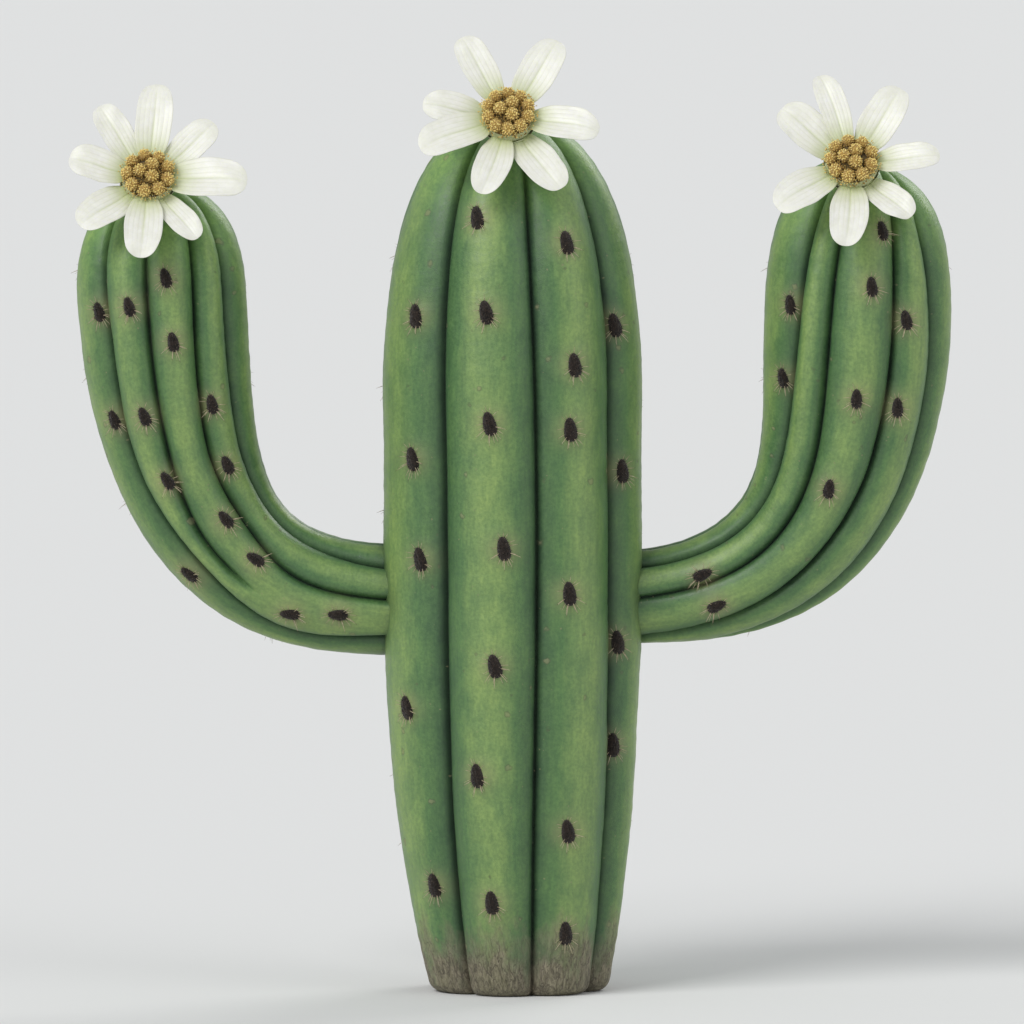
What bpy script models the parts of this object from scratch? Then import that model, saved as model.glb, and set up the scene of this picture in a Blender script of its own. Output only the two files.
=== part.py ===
"""Saguaro cactus: a ribbed trunk, two arms that turn up beside it, and an open bloom on each tip.

Metres, +Z up. The origin is the middle of the flat cut at ground level, +X runs to the right arm and
-Y to the front, where the blooms face. A place on a limb is its distance along the limb and its
bearing round it in degrees: 0 at the front, 90 at the right on the trunk and underneath and outside
on an arm, 180 at the back.
"""

import bisect
import math
from dataclasses import dataclass

import bmesh
import bpy
import numpy as np
from mathutils import Matrix, Vector
from mathutils.geometry import interpolate_bezier

FRONT = Vector((0, -1, 0))
GAP = 0.0003  # between neighbouring solids
SHARP_ANGLE = math.radians(50)  # edges bent more than this stay sharp

# Ribs, on every limb.
RIB_DEPTH = 0.13  # of the radius, in the grooves
RIB_ROUNDNESS = 0.75  # the lower, the flatter the crest and the sharper the groove
TRUNK_RIB_STEPS = (0, 0.12, 0.3, 0.5, 0.7, 0.88)  # where a rib's facets begin, across its width
ARM_RIB_STEPS = (0, 0.14, 0.36, 0.64, 0.86)
DOME_POWER = 2.5  # the tips are domed as a superellipse of this power
DOME_TURNS = (0, 18, 34, 49, 62, 73, 83)  # degrees at which a dome has a ring
FACING_STEP = 0.01  # how far along a limb, either way, its slope is read
FACING_TURN = 2  # and how many degrees round it

# The trunk.
TRUNK_HEIGHT = 2.44
TRUNK_RADIUS = 0.38  # over the crests, where it is widest
TRUNK_DOME_BASE = 1.60
BELLY_BASE = 1.515  # it narrows from here down
FOOT_NARROWING = 0.32
FOOT_NARROWING_POWER = 2.9
FOOT_ROUNDING = 0.028
FOOT_ROUNDING_RING = 0.3  # share of the rounding's height at which it has a ring
LEAN = 0.021  # the belly stands this far left of the foot
LEAN_HEIGHT = 1.0
TRUNK_RING_SPACING = 0.19
TRUNK_GROOVE_STATIONS = (0, 0.5, 0.9)  # as shares of the height
TRUNK_GROOVES = ((-36, -33, -36), (10, 13, 10), (60, 55, 53))  # bearing of each at the stations

# The areoles, the dark felt pads along the ribs: (height, bearing) on the trunk's front ribs.
TRUNK_AREOLES = (
    (1.91, -48), (1.51, -48), (1.23, -44), (0.81, -53), (0.31, -47),
    (2.19, -18), (1.93, -11), (1.62, -9), (1.27, -3), (0.94, -7), (0.63, -16), (0.27, -12),
    (2.12, 28), (1.78, 28), (1.60, 26), (1.14, 26), (0.47, 27), (0.18, 28),
    (1.88, 57), (1.47, 60), (0.99, 59), (0.70, 59),
)
TRUNK_AREOLE_LENGTH = 0.064
ARM_AREOLE_LENGTH = 0.054
AREOLE_WIDTH = 0.53  # of the length
AREOLE_TAPER = 0.28  # how much narrower its upper end is than its middle, as a share
AREOLE_TILT = 10  # degrees that its upper end leans left, seen from outside
AREOLE_HEIGHT = 0.010
AREOLE_DEPTH = 0.009  # sunk in the skin
AREOLE_SIDES = 6
AREOLE_RINGS = 4
BACK_AREOLE_DROP = 0.03  # the back's areoles sit this far below the front's

# The arms.
ARM_ROOT_DEPTH = 0.17  # how far an arm is drawn into the trunk before it is cut to its side
ARM_RING_SPACING = 0.09
ARM_CURVE_POINTS = 200  # read off an arm's centreline
ARM_GROOVE_STATIONS = (0, 0.15, 0.3, 0.5, 0.7, 0.9)


@dataclass
class ArmShape:
    """An arm's sizes. Its centreline is one Bezier curve in the plane of the trunk and both arms."""

    name: str
    side: int
    root: tuple  # x and z where the centreline leaves the trunk
    root_rise: float  # radians above the level
    root_pull: float
    tip: tuple
    tip_lean: float  # radians right of upright
    tip_pull: float
    root_radius: float
    tip_radius: float
    swelling: float  # the lower, the nearer the root the arm thickens
    dome: float
    split: float  # share of the length at which the lower piece ends
    grooves: tuple
    fades: dict  # groove number: the shares of the length between which it fades in
    areoles: tuple  # share of the length, bearing


LEFT_ARM = ArmShape(
    name="arm_left",
    side=-1,
    root=(-0.378, 1.096),
    root_rise=0.03,
    root_pull=0.539,
    tip=(-1.010, 2.258),
    tip_lean=-0.02,
    tip_pull=0.802,
    root_radius=0.160,
    tip_radius=0.247,
    swelling=1.16,
    dome=0.345,
    split=0.40,
    grooves=(
        (-44, -56, -60, -54, -51, -52),
        (-4, -10, -27, -23, -24, -27),
        (18, 20, 16, 11, 10, 10),
        (41, 51, 34, 42, 41, 46),
    ),
    fades={2: (0.20, 0.30)},
    areoles=(
        (0.84, -4), (0.79, 21), (0.78, 48), (0.72, -6), (0.59, -29), (0.59, 20), (0.59, 48),
        (0.46, -32), (0.47, 17), (0.36, -12), (0.26, -8), (0.32, 48), (0.16, 25), (0.08, 15),
    ),
)
RIGHT_ARM = ArmShape(
    name="arm_right",
    side=1,
    root=(0.339, 1.107),
    root_rise=0.04,
    root_pull=0.796,
    tip=(0.981, 2.323),
    tip_lean=0.25,
    tip_pull=0.426,
    root_radius=0.131,
    tip_radius=0.272,
    swelling=0.83,
    dome=0.444,
    split=0.34,
    grooves=(
        (-49, -52, -52, -49, -42, -36),
        (-1, -10, -18, -21, -19, -14),
        (66, 42, 25, 23, 25, 26),
        (78, 76, 63, 58, 56, 48),
    ),
    fades={3: (0.10, 0.22)},
    areoles=(
        (0.89, 15), (0.79, 8), (0.75, -47), (0.73, 31), (0.61, -52), (0.59, 2), (0.58, 30),
        (0.42, -2), (0.12, -18), (0.13, 19),
    ),
)

# The blooms. Each faces the front and up, on a short tube from the front shoulder of its dome.
BLOOM_RISE = 36  # degrees that a bloom faces above the level
TURNED_MERGE_DISTANCE = 0.00001  # closes a turned shape on its axis
TUBE_SIDES = 20
TUBE_RIM_RADIUS = 0.0745
TUBE_PROFILE = (  # radius and height along the bloom's axis
    (0, 0.002), (TUBE_RIM_RADIUS, 0.002), (TUBE_RIM_RADIUS, -0.036),
    (0.060, -0.052), (0.046, -0.072), (0.042, -0.100), (0.044, -0.165), (0, -0.165),
)
STAMEN_BASE_SIDES = 16
STAMEN_BASE_PROFILE = (
    (0, 0.036), (0.030, 0.032), (0.054, 0.018), (0.066, 0.002 + GAP), (0, 0.002 + GAP),
)
BEAD_RADIUS = 0.019
BEAD_SIDES = 7
BEAD_RINGS = 4
INNER_BEADS = 3
INNER_BEAD_PLACE = (0.022, 0.036)  # radius and height of the ring they stand in
OUTER_BEAD_PLACE = (0.059, 0.0225)
PETAL_THICKNESS = 0.005
PETAL_TOP = -0.004
PETAL_STEP = 0.013  # petals side by side stand at heights this far apart
PETAL_CLEARANCE = 0.0008  # what the chords of its root and its thickness take up
PETAL_ROOT = TUBE_RIM_RADIUS + GAP + PETAL_CLEARANCE
PETAL_ROOT_WIDTH = 0.56  # of the petal's width
PETAL_WIDEST = 0.55  # share of the length
PETAL_WIDENING = 0.8  # the lower, the nearer its root a petal widens
PETAL_TIP_WIDTH = 0.245
PETAL_ROWS = 5
PETAL_ROW_SHIFT = 1.15  # the higher, the nearer its root the rows lie
PETAL_COLUMNS = 4
PETAL_LIFT = 0.032
PETAL_RECURVE = 0.014
PETAL_TROUGH = 0.005
PETAL_TROUGH_START = 0.33  # share of the length at which the trough has its full depth


@dataclass
class Bloom:
    """A bloom's centre, its petals as (bearing, reach, width), and how many beads ring its eye."""

    name: str
    centre: tuple
    petals: tuple
    outer_beads: int


BLOOMS = (
    Bloom(
        "bloom_left",
        (-1.034, -0.170, 2.296),
        (
            (-3, 0.278, 0.129), (41, 0.251, 0.096), (85, 0.292, 0.105), (122, 0.266, 0.092),
            (168, 0.226, 0.109), (220, 0.251, 0.109), (266, 0.277, 0.109), (303, 0.248, 0.083),
        ),
        9,
    ),
    Bloom(
        "bloom_top",
        (-0.029, -0.220, 2.473),
        (
            (-11, 0.262, 0.107), (59, 0.276, 0.110), (119, 0.274, 0.097), (173, 0.240, 0.103),
            (203, 0.274, 0.109), (256, 0.272, 0.102), (300, 0.284, 0.109),
        ),
        10,
    ),
    Bloom(
        "bloom_right",
        (0.930, -0.200, 2.339),
        (
            (3, 0.246, 0.090), (59, 0.275, 0.112), (105, 0.286, 0.083), (139, 0.260, 0.118),
            (214, 0.265, 0.107), (268, 0.278, 0.109), (313, 0.245, 0.092),
        ),
        9,
    ),
)

# Colour and roughness of each material.
MATERIALS = {
    "stem_skin": ((0.16, 0.27, 0.13), 0.55),
    "areole_felt": ((0.035, 0.022, 0.018), 0.95),
    "tube_skin": ((0.25, 0.36, 0.12), 0.5),
    "petal": ((0.88, 0.86, 0.78), 0.4),
    "stamen": ((0.80, 0.55, 0.12), 0.8),
}


def smoothstep(x):
    x = min(max(x, 0), 1)
    return x * x * (3 - 2 * x)


def glide(stations, values, at):
    """Each row of values, given at the stations, read at a place between them along a smooth curve."""
    slopes = np.gradient(values, stations, axis=1)
    i = int(np.clip(np.searchsorted(stations, at) - 1, 0, len(stations) - 2))
    width = stations[i + 1] - stations[i]
    t = min(max((at - stations[i]) / width, 0), 1)
    return (
        values[:, i] * (1 + 2 * t) * (1 - t) ** 2
        + values[:, i + 1] * t * t * (3 - 2 * t)
        + slopes[:, i] * width * t * (1 - t) ** 2
        - slopes[:, i + 1] * width * t * t * (1 - t)
    )


class Limb:
    """A ribbed limb. Two grooves run up its sides, and its back mirrors the grooves of its front."""

    def __init__(self, length, side, frame, radius, stations, grooves, rib_steps, fades=None):
        self.length = length
        self.side = side
        self.frame = frame
        self.radius = radius
        self.stations = np.array(stations, float)
        self.front_grooves = np.array(grooves, float)
        self.rib_steps = rib_steps
        self.fades = fades or {}

    def grooves(self, along):
        """The grooves' bearings from -90 round to 270, and each one's share of the full depth."""
        share = along / self.length
        front = glide(self.stations, self.front_grooves, share).tolist()
        depths = [1.0] * len(front)
        for groove, (start, full) in self.fades.items():
            depths[groove] = smoothstep((share - start) / (full - start))
        back = [180 - bearing for bearing in reversed(front)]
        return [-90, *front, 90, *back, 270], [1, *depths, 1, *reversed(depths), 1]

    def point(self, along, bearing, grow=0.0):
        bearings, depths = self.grooves(along)
        turned = (bearing + 90) % 360 - 90
        i = bisect.bisect_right(bearings, turned, hi=len(bearings) - 1) - 1
        across = (turned - bearings[i]) / (bearings[i + 1] - bearings[i])
        depth = depths[i] if across < 0.5 else depths[i + 1]
        drop = RIB_DEPTH * depth * (1 - math.sin(math.pi * across) ** RIB_ROUNDNESS)
        centre, axis = self.frame(along)
        outward = Vector((axis.z, 0, -axis.x)) * self.side
        angle = math.radians(turned)
        reach = self.radius(along) * (1 - drop) + grow
        return centre + reach * (math.sin(angle) * outward + math.cos(angle) * FRONT)

    def ring(self, along, grow=0.0):
        bearings, _ = self.grooves(along)
        return [
            self.point(along, start + (end - start) * step, grow)
            for start, end in zip(bearings, bearings[1:])
            for step in self.rib_steps
        ]

    def facing(self, along, bearing):
        """The place's frame: across the limb, along it, and out of its skin."""
        up = self.point(along + FACING_STEP, bearing) - self.point(along - FACING_STEP, bearing)
        across = self.point(along, bearing + FACING_TURN) - self.point(along, bearing - FACING_TURN)
        outward = across.cross(up)
        centre, _ = self.frame(along)
        if outward.dot(self.point(along, bearing) - centre) < 0:
            outward.negate()
        up.normalize()
        outward.normalize()
        return up.cross(outward), up, outward


def dome_share(share):
    return (1 - min(max(share, 0), 1) ** DOME_POWER) ** (1 / DOME_POWER)


def dome_stations(base, length):
    return [base + length * math.sin(math.radians(turn)) ** (2 / DOME_POWER) for turn in DOME_TURNS]


def trunk_frame(height):
    share = 1 - min(height / LEAN_HEIGHT, 1)
    return Vector((-LEAN * (1 - share**2), 0, height)), Vector((0, 0, 1))


def trunk_radius(height):
    narrowing = FOOT_NARROWING * max((BELLY_BASE - height) / BELLY_BASE, 0) ** FOOT_NARROWING_POWER
    radius = TRUNK_RADIUS * (1 - narrowing)
    radius *= dome_share((height - TRUNK_DOME_BASE) / (TRUNK_HEIGHT - TRUNK_DOME_BASE))
    below = max(1 - height / FOOT_ROUNDING, 0)
    return radius - FOOT_ROUNDING * (1 - math.sqrt(1 - below**2))


def trunk_stations():
    count = round((TRUNK_DOME_BASE - FOOT_ROUNDING) / TRUNK_RING_SPACING)
    foot = [0, FOOT_ROUNDING * FOOT_ROUNDING_RING]
    wall = np.linspace(FOOT_ROUNDING, TRUNK_DOME_BASE, count, endpoint=False)
    return foot + wall.tolist() + dome_stations(TRUNK_DOME_BASE, TRUNK_HEIGHT - TRUNK_DOME_BASE)


def make_trunk_limb():
    return Limb(
        TRUNK_HEIGHT, 1, trunk_frame, trunk_radius, TRUNK_GROOVE_STATIONS, TRUNK_GROOVES, TRUNK_RIB_STEPS
    )


def make_arm_limb(arm):
    """The arm's limb, measured along its centreline from where that leaves the trunk."""
    root = Vector((arm.root[0], 0, arm.root[1]))
    tip = Vector((arm.tip[0], 0, arm.tip[1]))
    start = Vector((arm.side * math.cos(arm.root_rise), 0, math.sin(arm.root_rise)))
    end = Vector((math.sin(arm.tip_lean), 0, math.cos(arm.tip_lean)))
    curve = interpolate_bezier(
        root, root + start * arm.root_pull, tip - end * arm.tip_pull, tip, ARM_CURVE_POINTS
    )
    points = np.array(curve)
    steps = np.linalg.norm(np.diff(points, axis=0), axis=1)
    travelled = np.concatenate([[0], np.cumsum(steps)])
    axes = np.gradient(points, travelled, axis=0)
    length = float(travelled[-1])

    def frame(along):
        centre = Vector([np.interp(along, travelled, points[:, k]) for k in range(3)])
        axis = Vector([np.interp(along, travelled, axes[:, k]) for k in range(3)]).normalized()
        return centre + start * min(along, 0), axis

    def radius(along):
        growth = smoothstep(along / (length - arm.dome)) ** arm.swelling
        wall = arm.root_radius + (arm.tip_radius - arm.root_radius) * growth
        return wall * dome_share((along - (length - arm.dome)) / arm.dome)

    return Limb(
        length, arm.side, frame, radius, ARM_GROOVE_STATIONS, arm.grooves, ARM_RIB_STEPS, arm.fades
    )


def make_material(name):
    colour, roughness = MATERIALS[name]
    material = bpy.data.materials.new(name)
    material.use_nodes = True
    shader = material.node_tree.nodes["Principled BSDF"]
    shader.inputs["Base Color"].default_value = (*colour, 1)
    shader.inputs["Roughness"].default_value = roughness
    shader.inputs["Metallic"].default_value = 0
    material.diffuse_color = (*colour, 1)
    return material


def make_collection(name):
    collection = bpy.data.collections.new(name)
    bpy.context.scene.collection.children.link(collection)
    return collection


def add_object(name, bm, collection, material=None, smooth=True):
    mesh = bpy.data.meshes.new(name)
    bm.to_mesh(mesh)
    bm.free()
    if smooth:
        mesh.shade_smooth()
        mesh.set_sharp_from_angle(angle=SHARP_ANGLE)
    if material:
        mesh.materials.append(material)
    obj = bpy.data.objects.new(name, mesh)
    collection.objects.link(obj)
    return obj


def make_helper(obj):
    obj.hide_render = True
    obj.display_type = "WIRE"
    return obj


def add_boolean(obj, operation, other):
    modifier = obj.modifiers.new(operation.lower(), "BOOLEAN")
    modifier.operation = operation
    modifier.material_mode = "TRANSFER"
    if isinstance(other, bpy.types.Collection):
        modifier.operand_type = "COLLECTION"
        modifier.collection = other
    else:
        modifier.object = other


def skin_limb(name, limb, stations, collection, material=None, closed_tip=False, grow=0.0):
    """A loft through the limb's rings, flat at each end, or drawn to a point where the tip closes."""
    bm = bmesh.new()
    rings = [[bm.verts.new(point) for point in limb.ring(along, grow)] for along in stations]
    for lower, upper in zip(rings, rings[1:]):
        for i in range(len(lower)):
            bm.faces.new((lower[i - 1], lower[i], upper[i], upper[i - 1]))
    bm.faces.new(rings[0])
    if closed_tip:
        centre, axis = limb.frame(limb.length)
        tip = bm.verts.new(centre + axis * grow)
        for i in range(len(rings[-1])):
            bm.faces.new((rings[-1][i - 1], rings[-1][i], tip))
    else:
        bm.faces.new(rings[-1])
    bmesh.ops.recalc_face_normals(bm, faces=bm.faces)
    return add_object(name, bm, collection, material)


def make_areole_mesh(length, material):
    """A low pad, narrower at its upper end, to be half sunk in the skin."""
    bm = bmesh.new()
    bmesh.ops.create_uvsphere(bm, u_segments=AREOLE_SIDES, v_segments=AREOLE_RINGS, radius=1)
    for vert in bm.verts:
        taper = 1 - AREOLE_TAPER * vert.co.y
        vert.co.x *= taper * length * AREOLE_WIDTH / 2
        vert.co.y *= length / 2
        vert.co.z = vert.co.z * (AREOLE_HEIGHT + AREOLE_DEPTH) - AREOLE_DEPTH
    mesh = bpy.data.meshes.new("areole")
    bm.to_mesh(mesh)
    bm.free()
    mesh.materials.append(material)
    return mesh


def add_areoles(owner, limb, places, mesh):
    """Pads at the places on the front and at their mirrored places on the back, fused to the owner."""
    pads = make_collection(owner.name + "_areoles")
    both_sides = list(places)
    both_sides += [(along - BACK_AREOLE_DROP, 180 - bearing) for along, bearing in places]
    for number, (along, bearing) in enumerate(both_sides):
        across, up, outward = limb.facing(along, bearing)
        frame = Matrix((across, up, outward)).transposed()
        tilt = Matrix.Rotation(math.radians(AREOLE_TILT), 3, "Z")
        pad = bpy.data.objects.new(f"{owner.name}_areole_{number}", mesh)
        pad.matrix_world = Matrix.Translation(limb.point(along, bearing)) @ (frame @ tilt).to_4x4()
        pads.objects.link(make_helper(pad))
    add_boolean(owner, "UNION", pads)


def add_trunk(limb, parts, cutters, materials, areole_mesh):
    stations = trunk_stations()
    trunk = skin_limb("trunk", limb, stations, parts, materials["stem_skin"], closed_tip=True)
    add_areoles(trunk, limb, TRUNK_AREOLES, areole_mesh)
    return make_helper(
        skin_limb("trunk_cutter", limb, stations, cutters, closed_tip=True, grow=GAP)
    )


def add_arm(arm, limb, trunk_cutter, parts, cutters, materials, areole_mesh):
    """The arm in two pieces that meet face to face at its bend."""
    dome_base = limb.length - arm.dome
    split = arm.split * limb.length
    lower_count = round((split + ARM_ROOT_DEPTH) / ARM_RING_SPACING)
    lower_stations = np.linspace(-ARM_ROOT_DEPTH, split - GAP / 2, lower_count + 1).tolist()
    upper_count = round((dome_base - split) / ARM_RING_SPACING)
    upper_stations = np.linspace(split + GAP / 2, dome_base, upper_count, endpoint=False).tolist()
    upper_stations += dome_stations(dome_base, arm.dome)
    lower = skin_limb(arm.name + "_lower", limb, lower_stations, parts, materials["stem_skin"])
    upper = skin_limb(
        arm.name + "_upper", limb, upper_stations, parts, materials["stem_skin"], closed_tip=True
    )
    add_boolean(lower, "DIFFERENCE", trunk_cutter)
    places = [(share * limb.length, bearing) for share, bearing in arm.areoles]
    add_areoles(lower, limb, [place for place in places if place[0] < split], areole_mesh)
    add_areoles(upper, limb, [place for place in places if place[0] > split], areole_mesh)
    return make_helper(
        skin_limb(arm.name + "_cutter", limb, upper_stations, cutters, closed_tip=True, grow=GAP)
    )


def add_turned(name, profile, sides, collection, material):
    """A solid of revolution from a profile that starts and ends on the axis."""
    bm = bmesh.new()
    verts = [bm.verts.new((radius, 0, height)) for radius, height in profile]
    for start, end in zip(verts, verts[1:]):
        bm.edges.new((start, end))
    obj = add_object(name, bm, collection, material, smooth=False)
    screw = obj.modifiers.new("turn", "SCREW")
    screw.steps = sides
    screw.render_steps = sides
    screw.use_merge_vertices = True
    screw.merge_threshold = TURNED_MERGE_DISTANCE
    return obj


def petal_half_width(share):
    """Half the petal's width at a share of its length, as a share of the petal's full half width."""
    if share > PETAL_WIDEST:
        past = (share - PETAL_WIDEST) / (1 - PETAL_WIDEST)
        return max(math.sqrt(max(1 - past**2, 0)), PETAL_TIP_WIDTH)
    widened = math.sin(math.pi / 2 * (share / PETAL_WIDEST) ** PETAL_WIDENING)
    return PETAL_ROOT_WIDTH + (1 - PETAL_ROOT_WIDTH) * widened


def add_petal(name, reach, width, collection, material):
    """A petal along +X: level where it leaves the rim, lifted in the middle, its tip bent back."""
    bm = bmesh.new()
    bmesh.ops.create_grid(bm, x_segments=PETAL_ROWS, y_segments=PETAL_COLUMNS, size=1)
    for vert in bm.verts:
        share = math.sin(math.pi / 4 * (vert.co.x + 1)) ** PETAL_ROW_SHIFT
        side = vert.co.y
        half = width / 2 * petal_half_width(share)
        y = half * side
        root = math.sqrt(PETAL_ROOT**2 - y**2)
        x = root + (reach - root) * share
        lift = PETAL_LIFT * math.sin(math.pi / 2 * share) ** 2 - PETAL_RECURVE * share**4
        trough = PETAL_TROUGH * smoothstep(share / PETAL_TROUGH_START) * side**2
        vert.co = (x, y, lift + trough)
    petal = add_object(name, bm, collection, material)
    solidify = petal.modifiers.new("thickness", "SOLIDIFY")
    solidify.thickness = PETAL_THICKNESS
    solidify.offset = 0
    return petal


def add_beads(owner, outer_beads):
    """Round beads, one for each cluster of anthers, fused to the stamens' base in two rings."""
    bm = bmesh.new()
    bmesh.ops.create_uvsphere(
        bm, u_segments=BEAD_SIDES, v_segments=BEAD_RINGS, radius=BEAD_RADIUS
    )
    mesh = bpy.data.meshes.new("bead")
    bm.to_mesh(mesh)
    bm.free()
    mesh.materials.append(owner.data.materials[0])
    beads = make_collection(owner.name + "_beads")
    for count, (radius, height) in ((INNER_BEADS, INNER_BEAD_PLACE), (outer_beads, OUTER_BEAD_PLACE)):
        for number in range(count):
            angle = 2 * math.pi * (number + 0.5) / count
            bead = bpy.data.objects.new(f"{owner.name}_bead_{count}_{number}", mesh)
            bead.parent = owner.parent
            bead.location = (radius * math.cos(angle), radius * math.sin(angle), height)
            beads.objects.link(make_helper(bead))
    add_boolean(owner, "UNION", beads)


def petal_level(number, count):
    """Neighbours stand on different levels, also the first and the last of an odd count."""
    return 2 if number == count - 1 and count % 2 else number % 2


def add_bloom(bloom, stem_cutter, parts, materials):
    pose = bpy.data.objects.new(bloom.name, None)
    pose.location = bloom.centre
    pose.rotation_euler = (math.radians(90 - BLOOM_RISE), 0, 0)
    parts.objects.link(pose)
    tube = add_turned(bloom.name + "_tube", TUBE_PROFILE, TUBE_SIDES, parts, materials["tube_skin"])
    tube.parent = pose
    add_boolean(tube, "DIFFERENCE", stem_cutter)
    stamens = add_turned(
        bloom.name + "_stamens", STAMEN_BASE_PROFILE, STAMEN_BASE_SIDES, parts, materials["stamen"]
    )
    stamens.parent = pose
    add_beads(stamens, bloom.outer_beads)
    for number, (bearing, reach, width) in enumerate(bloom.petals):
        petal = add_petal(f"{bloom.name}_petal_{number + 1}", reach, width, parts, materials["petal"])
        petal.parent = pose
        petal.location.z = PETAL_TOP - PETAL_STEP * petal_level(number, len(bloom.petals))
        petal.rotation_euler.z = math.radians(bearing)


def main():
    for obj in list(bpy.data.objects):
        bpy.data.objects.remove(obj)
    parts = make_collection("saguaro")
    cutters = make_collection("cutters")
    materials = {name: make_material(name) for name in MATERIALS}
    trunk_limb = make_trunk_limb()
    trunk_areole = make_areole_mesh(TRUNK_AREOLE_LENGTH, materials["areole_felt"])
    arm_areole = make_areole_mesh(ARM_AREOLE_LENGTH, materials["areole_felt"])
    trunk_cutter = add_trunk(trunk_limb, parts, cutters, materials, trunk_areole)
    left_cutter, right_cutter = (
        add_arm(arm, make_arm_limb(arm), trunk_cutter, parts, cutters, materials, arm_areole)
        for arm in (LEFT_ARM, RIGHT_ARM)
    )
    for bloom, stem_cutter in zip(BLOOMS, (left_cutter, trunk_cutter, right_cutter)):
        add_bloom(bloom, stem_cutter, parts, materials)


main()
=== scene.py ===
# %% [markdown]
# # A saguaro in bloom
#
# A saguaro is a column of water-storing flesh under a pleated, waxy skin. The pleats open like an
# accordion when it rains. Dark felt cushions, the areoles, sit along the ribs and carry the spines,
# and in late spring white waxy flowers open on the crown of the trunk and of each arm.
#
# The solids of the plant are already packed, in metres, with the origin on the ground under the
# trunk, +X to the right arm and -Y to the front. This script dresses them: each cell below makes one
# kind of surface or small part by the same rules as the solid that it stands for.

# %% Load the solids
import math
from dataclasses import dataclass

import bpy
import numpy as np
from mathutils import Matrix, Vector
from mathutils.geometry import interpolate_bezier


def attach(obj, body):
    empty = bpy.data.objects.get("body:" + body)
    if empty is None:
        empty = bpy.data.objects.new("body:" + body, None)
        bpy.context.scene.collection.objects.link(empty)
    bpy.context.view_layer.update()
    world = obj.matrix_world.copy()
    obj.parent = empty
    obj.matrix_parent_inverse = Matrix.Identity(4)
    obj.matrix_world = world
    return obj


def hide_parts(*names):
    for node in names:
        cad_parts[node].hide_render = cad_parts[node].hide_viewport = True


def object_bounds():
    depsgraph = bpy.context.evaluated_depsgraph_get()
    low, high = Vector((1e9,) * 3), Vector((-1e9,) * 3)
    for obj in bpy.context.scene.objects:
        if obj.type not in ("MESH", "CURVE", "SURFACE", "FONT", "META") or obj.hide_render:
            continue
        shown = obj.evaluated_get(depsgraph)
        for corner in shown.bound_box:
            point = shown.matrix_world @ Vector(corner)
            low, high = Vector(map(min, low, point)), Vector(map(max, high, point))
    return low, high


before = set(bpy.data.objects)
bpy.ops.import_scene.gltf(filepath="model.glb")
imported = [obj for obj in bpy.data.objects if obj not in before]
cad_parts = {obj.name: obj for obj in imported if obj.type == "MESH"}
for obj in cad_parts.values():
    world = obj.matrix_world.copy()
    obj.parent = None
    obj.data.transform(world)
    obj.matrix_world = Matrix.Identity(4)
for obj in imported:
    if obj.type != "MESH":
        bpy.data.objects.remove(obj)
cad_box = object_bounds()
print("solids to dress:", len(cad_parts))

# %% [markdown]
# ## Camera
#
# The plant is seen from a little above the level of its middle, and nearly without perspective: its
# two sides, its foot and its crown all show at one scale. An orthographic camera would do that, but
# a very long lens from far away looks the same and still behaves as a real camera when it is moved,
# so that is what stands here.

# %% Camera
LENS = 1200  # millimetres, as the sensor
SENSOR = 36
VIEW_WIDTH = 2.867  # metres across the view, at the plant
AIM = Vector((-0.018, 0, 1.340))
CAMERA_RISE = math.radians(5)
FAR = 1000  # metres to which it sees

camera = bpy.data.objects.new("camera", bpy.data.cameras.new("camera"))
camera.data.lens = LENS
camera.data.sensor_width = SENSOR
camera.data.clip_end = FAR
away = Vector((0, -math.cos(CAMERA_RISE), math.sin(CAMERA_RISE)))
camera.location = AIM + away * VIEW_WIDTH * LENS / SENSOR
camera.rotation_euler = away.to_track_quat("Z", "Y").to_euler()
bpy.context.scene.collection.objects.link(camera)
bpy.context.scene.camera = camera
print("camera stands", round((camera.location - AIM).length, 1), "m away")

# %% [markdown]
# ## Nodes by the handful
#
# A material is a small graph, and most of its lines would only make a node, set a value and draw a
# link. So a few helpers do that: `add_node` takes values and sockets alike for a node's inputs,
# `plus`, `minus`, `times` and `remap` do sums with them, and `new_group` opens a node group, which
# is a function for shaders.

# %% Node helpers
def add_node(tree, kind, inputs=None, **settings):
    node = tree.nodes.new(kind)
    for name, value in settings.items():
        setattr(node, name, value)
    for name, value in (inputs or {}).items():
        if isinstance(value, bpy.types.NodeSocket):
            tree.links.new(value, node.inputs[name])
        else:
            node.inputs[name].default_value = value
    return node


def maths(tree, operation, first, second=0.0, clamp=False):
    inputs = {0: first, 1: second}
    node = add_node(tree, "ShaderNodeMath", inputs, operation=operation, use_clamp=clamp)
    return node.outputs[0]


def plus(tree, first, second):
    return maths(tree, "ADD", first, second)


def minus(tree, first, second, clamp=False):
    return maths(tree, "SUBTRACT", first, second, clamp)


def times(tree, first, second):
    return maths(tree, "MULTIPLY", first, second)


def remap(tree, value, start, end, top=1.0):
    """0 where the value is at the start, rising to the top at the end, and level beyond them."""
    inputs = {"Value": value, "From Min": start, "From Max": end, "To Max": top}
    return add_node(tree, "ShaderNodeMapRange", inputs).outputs[0]


def noise(tree, place, scale, detail, roughness=0.5):
    """A cloudy pattern between 0 and 1, with this many finer layers."""
    inputs = {"Vector": place, "Scale": scale, "Detail": detail, "Roughness": roughness}
    return add_node(tree, "ShaderNodeTexNoise", inputs).outputs[0]


# A Mix node has inputs and outputs for numbers and for colours under one name, so the colours go
# by their places in the list.
FIRST_COLOUR, SECOND_COLOUR, MIXED_COLOUR = 6, 7, 2


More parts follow.
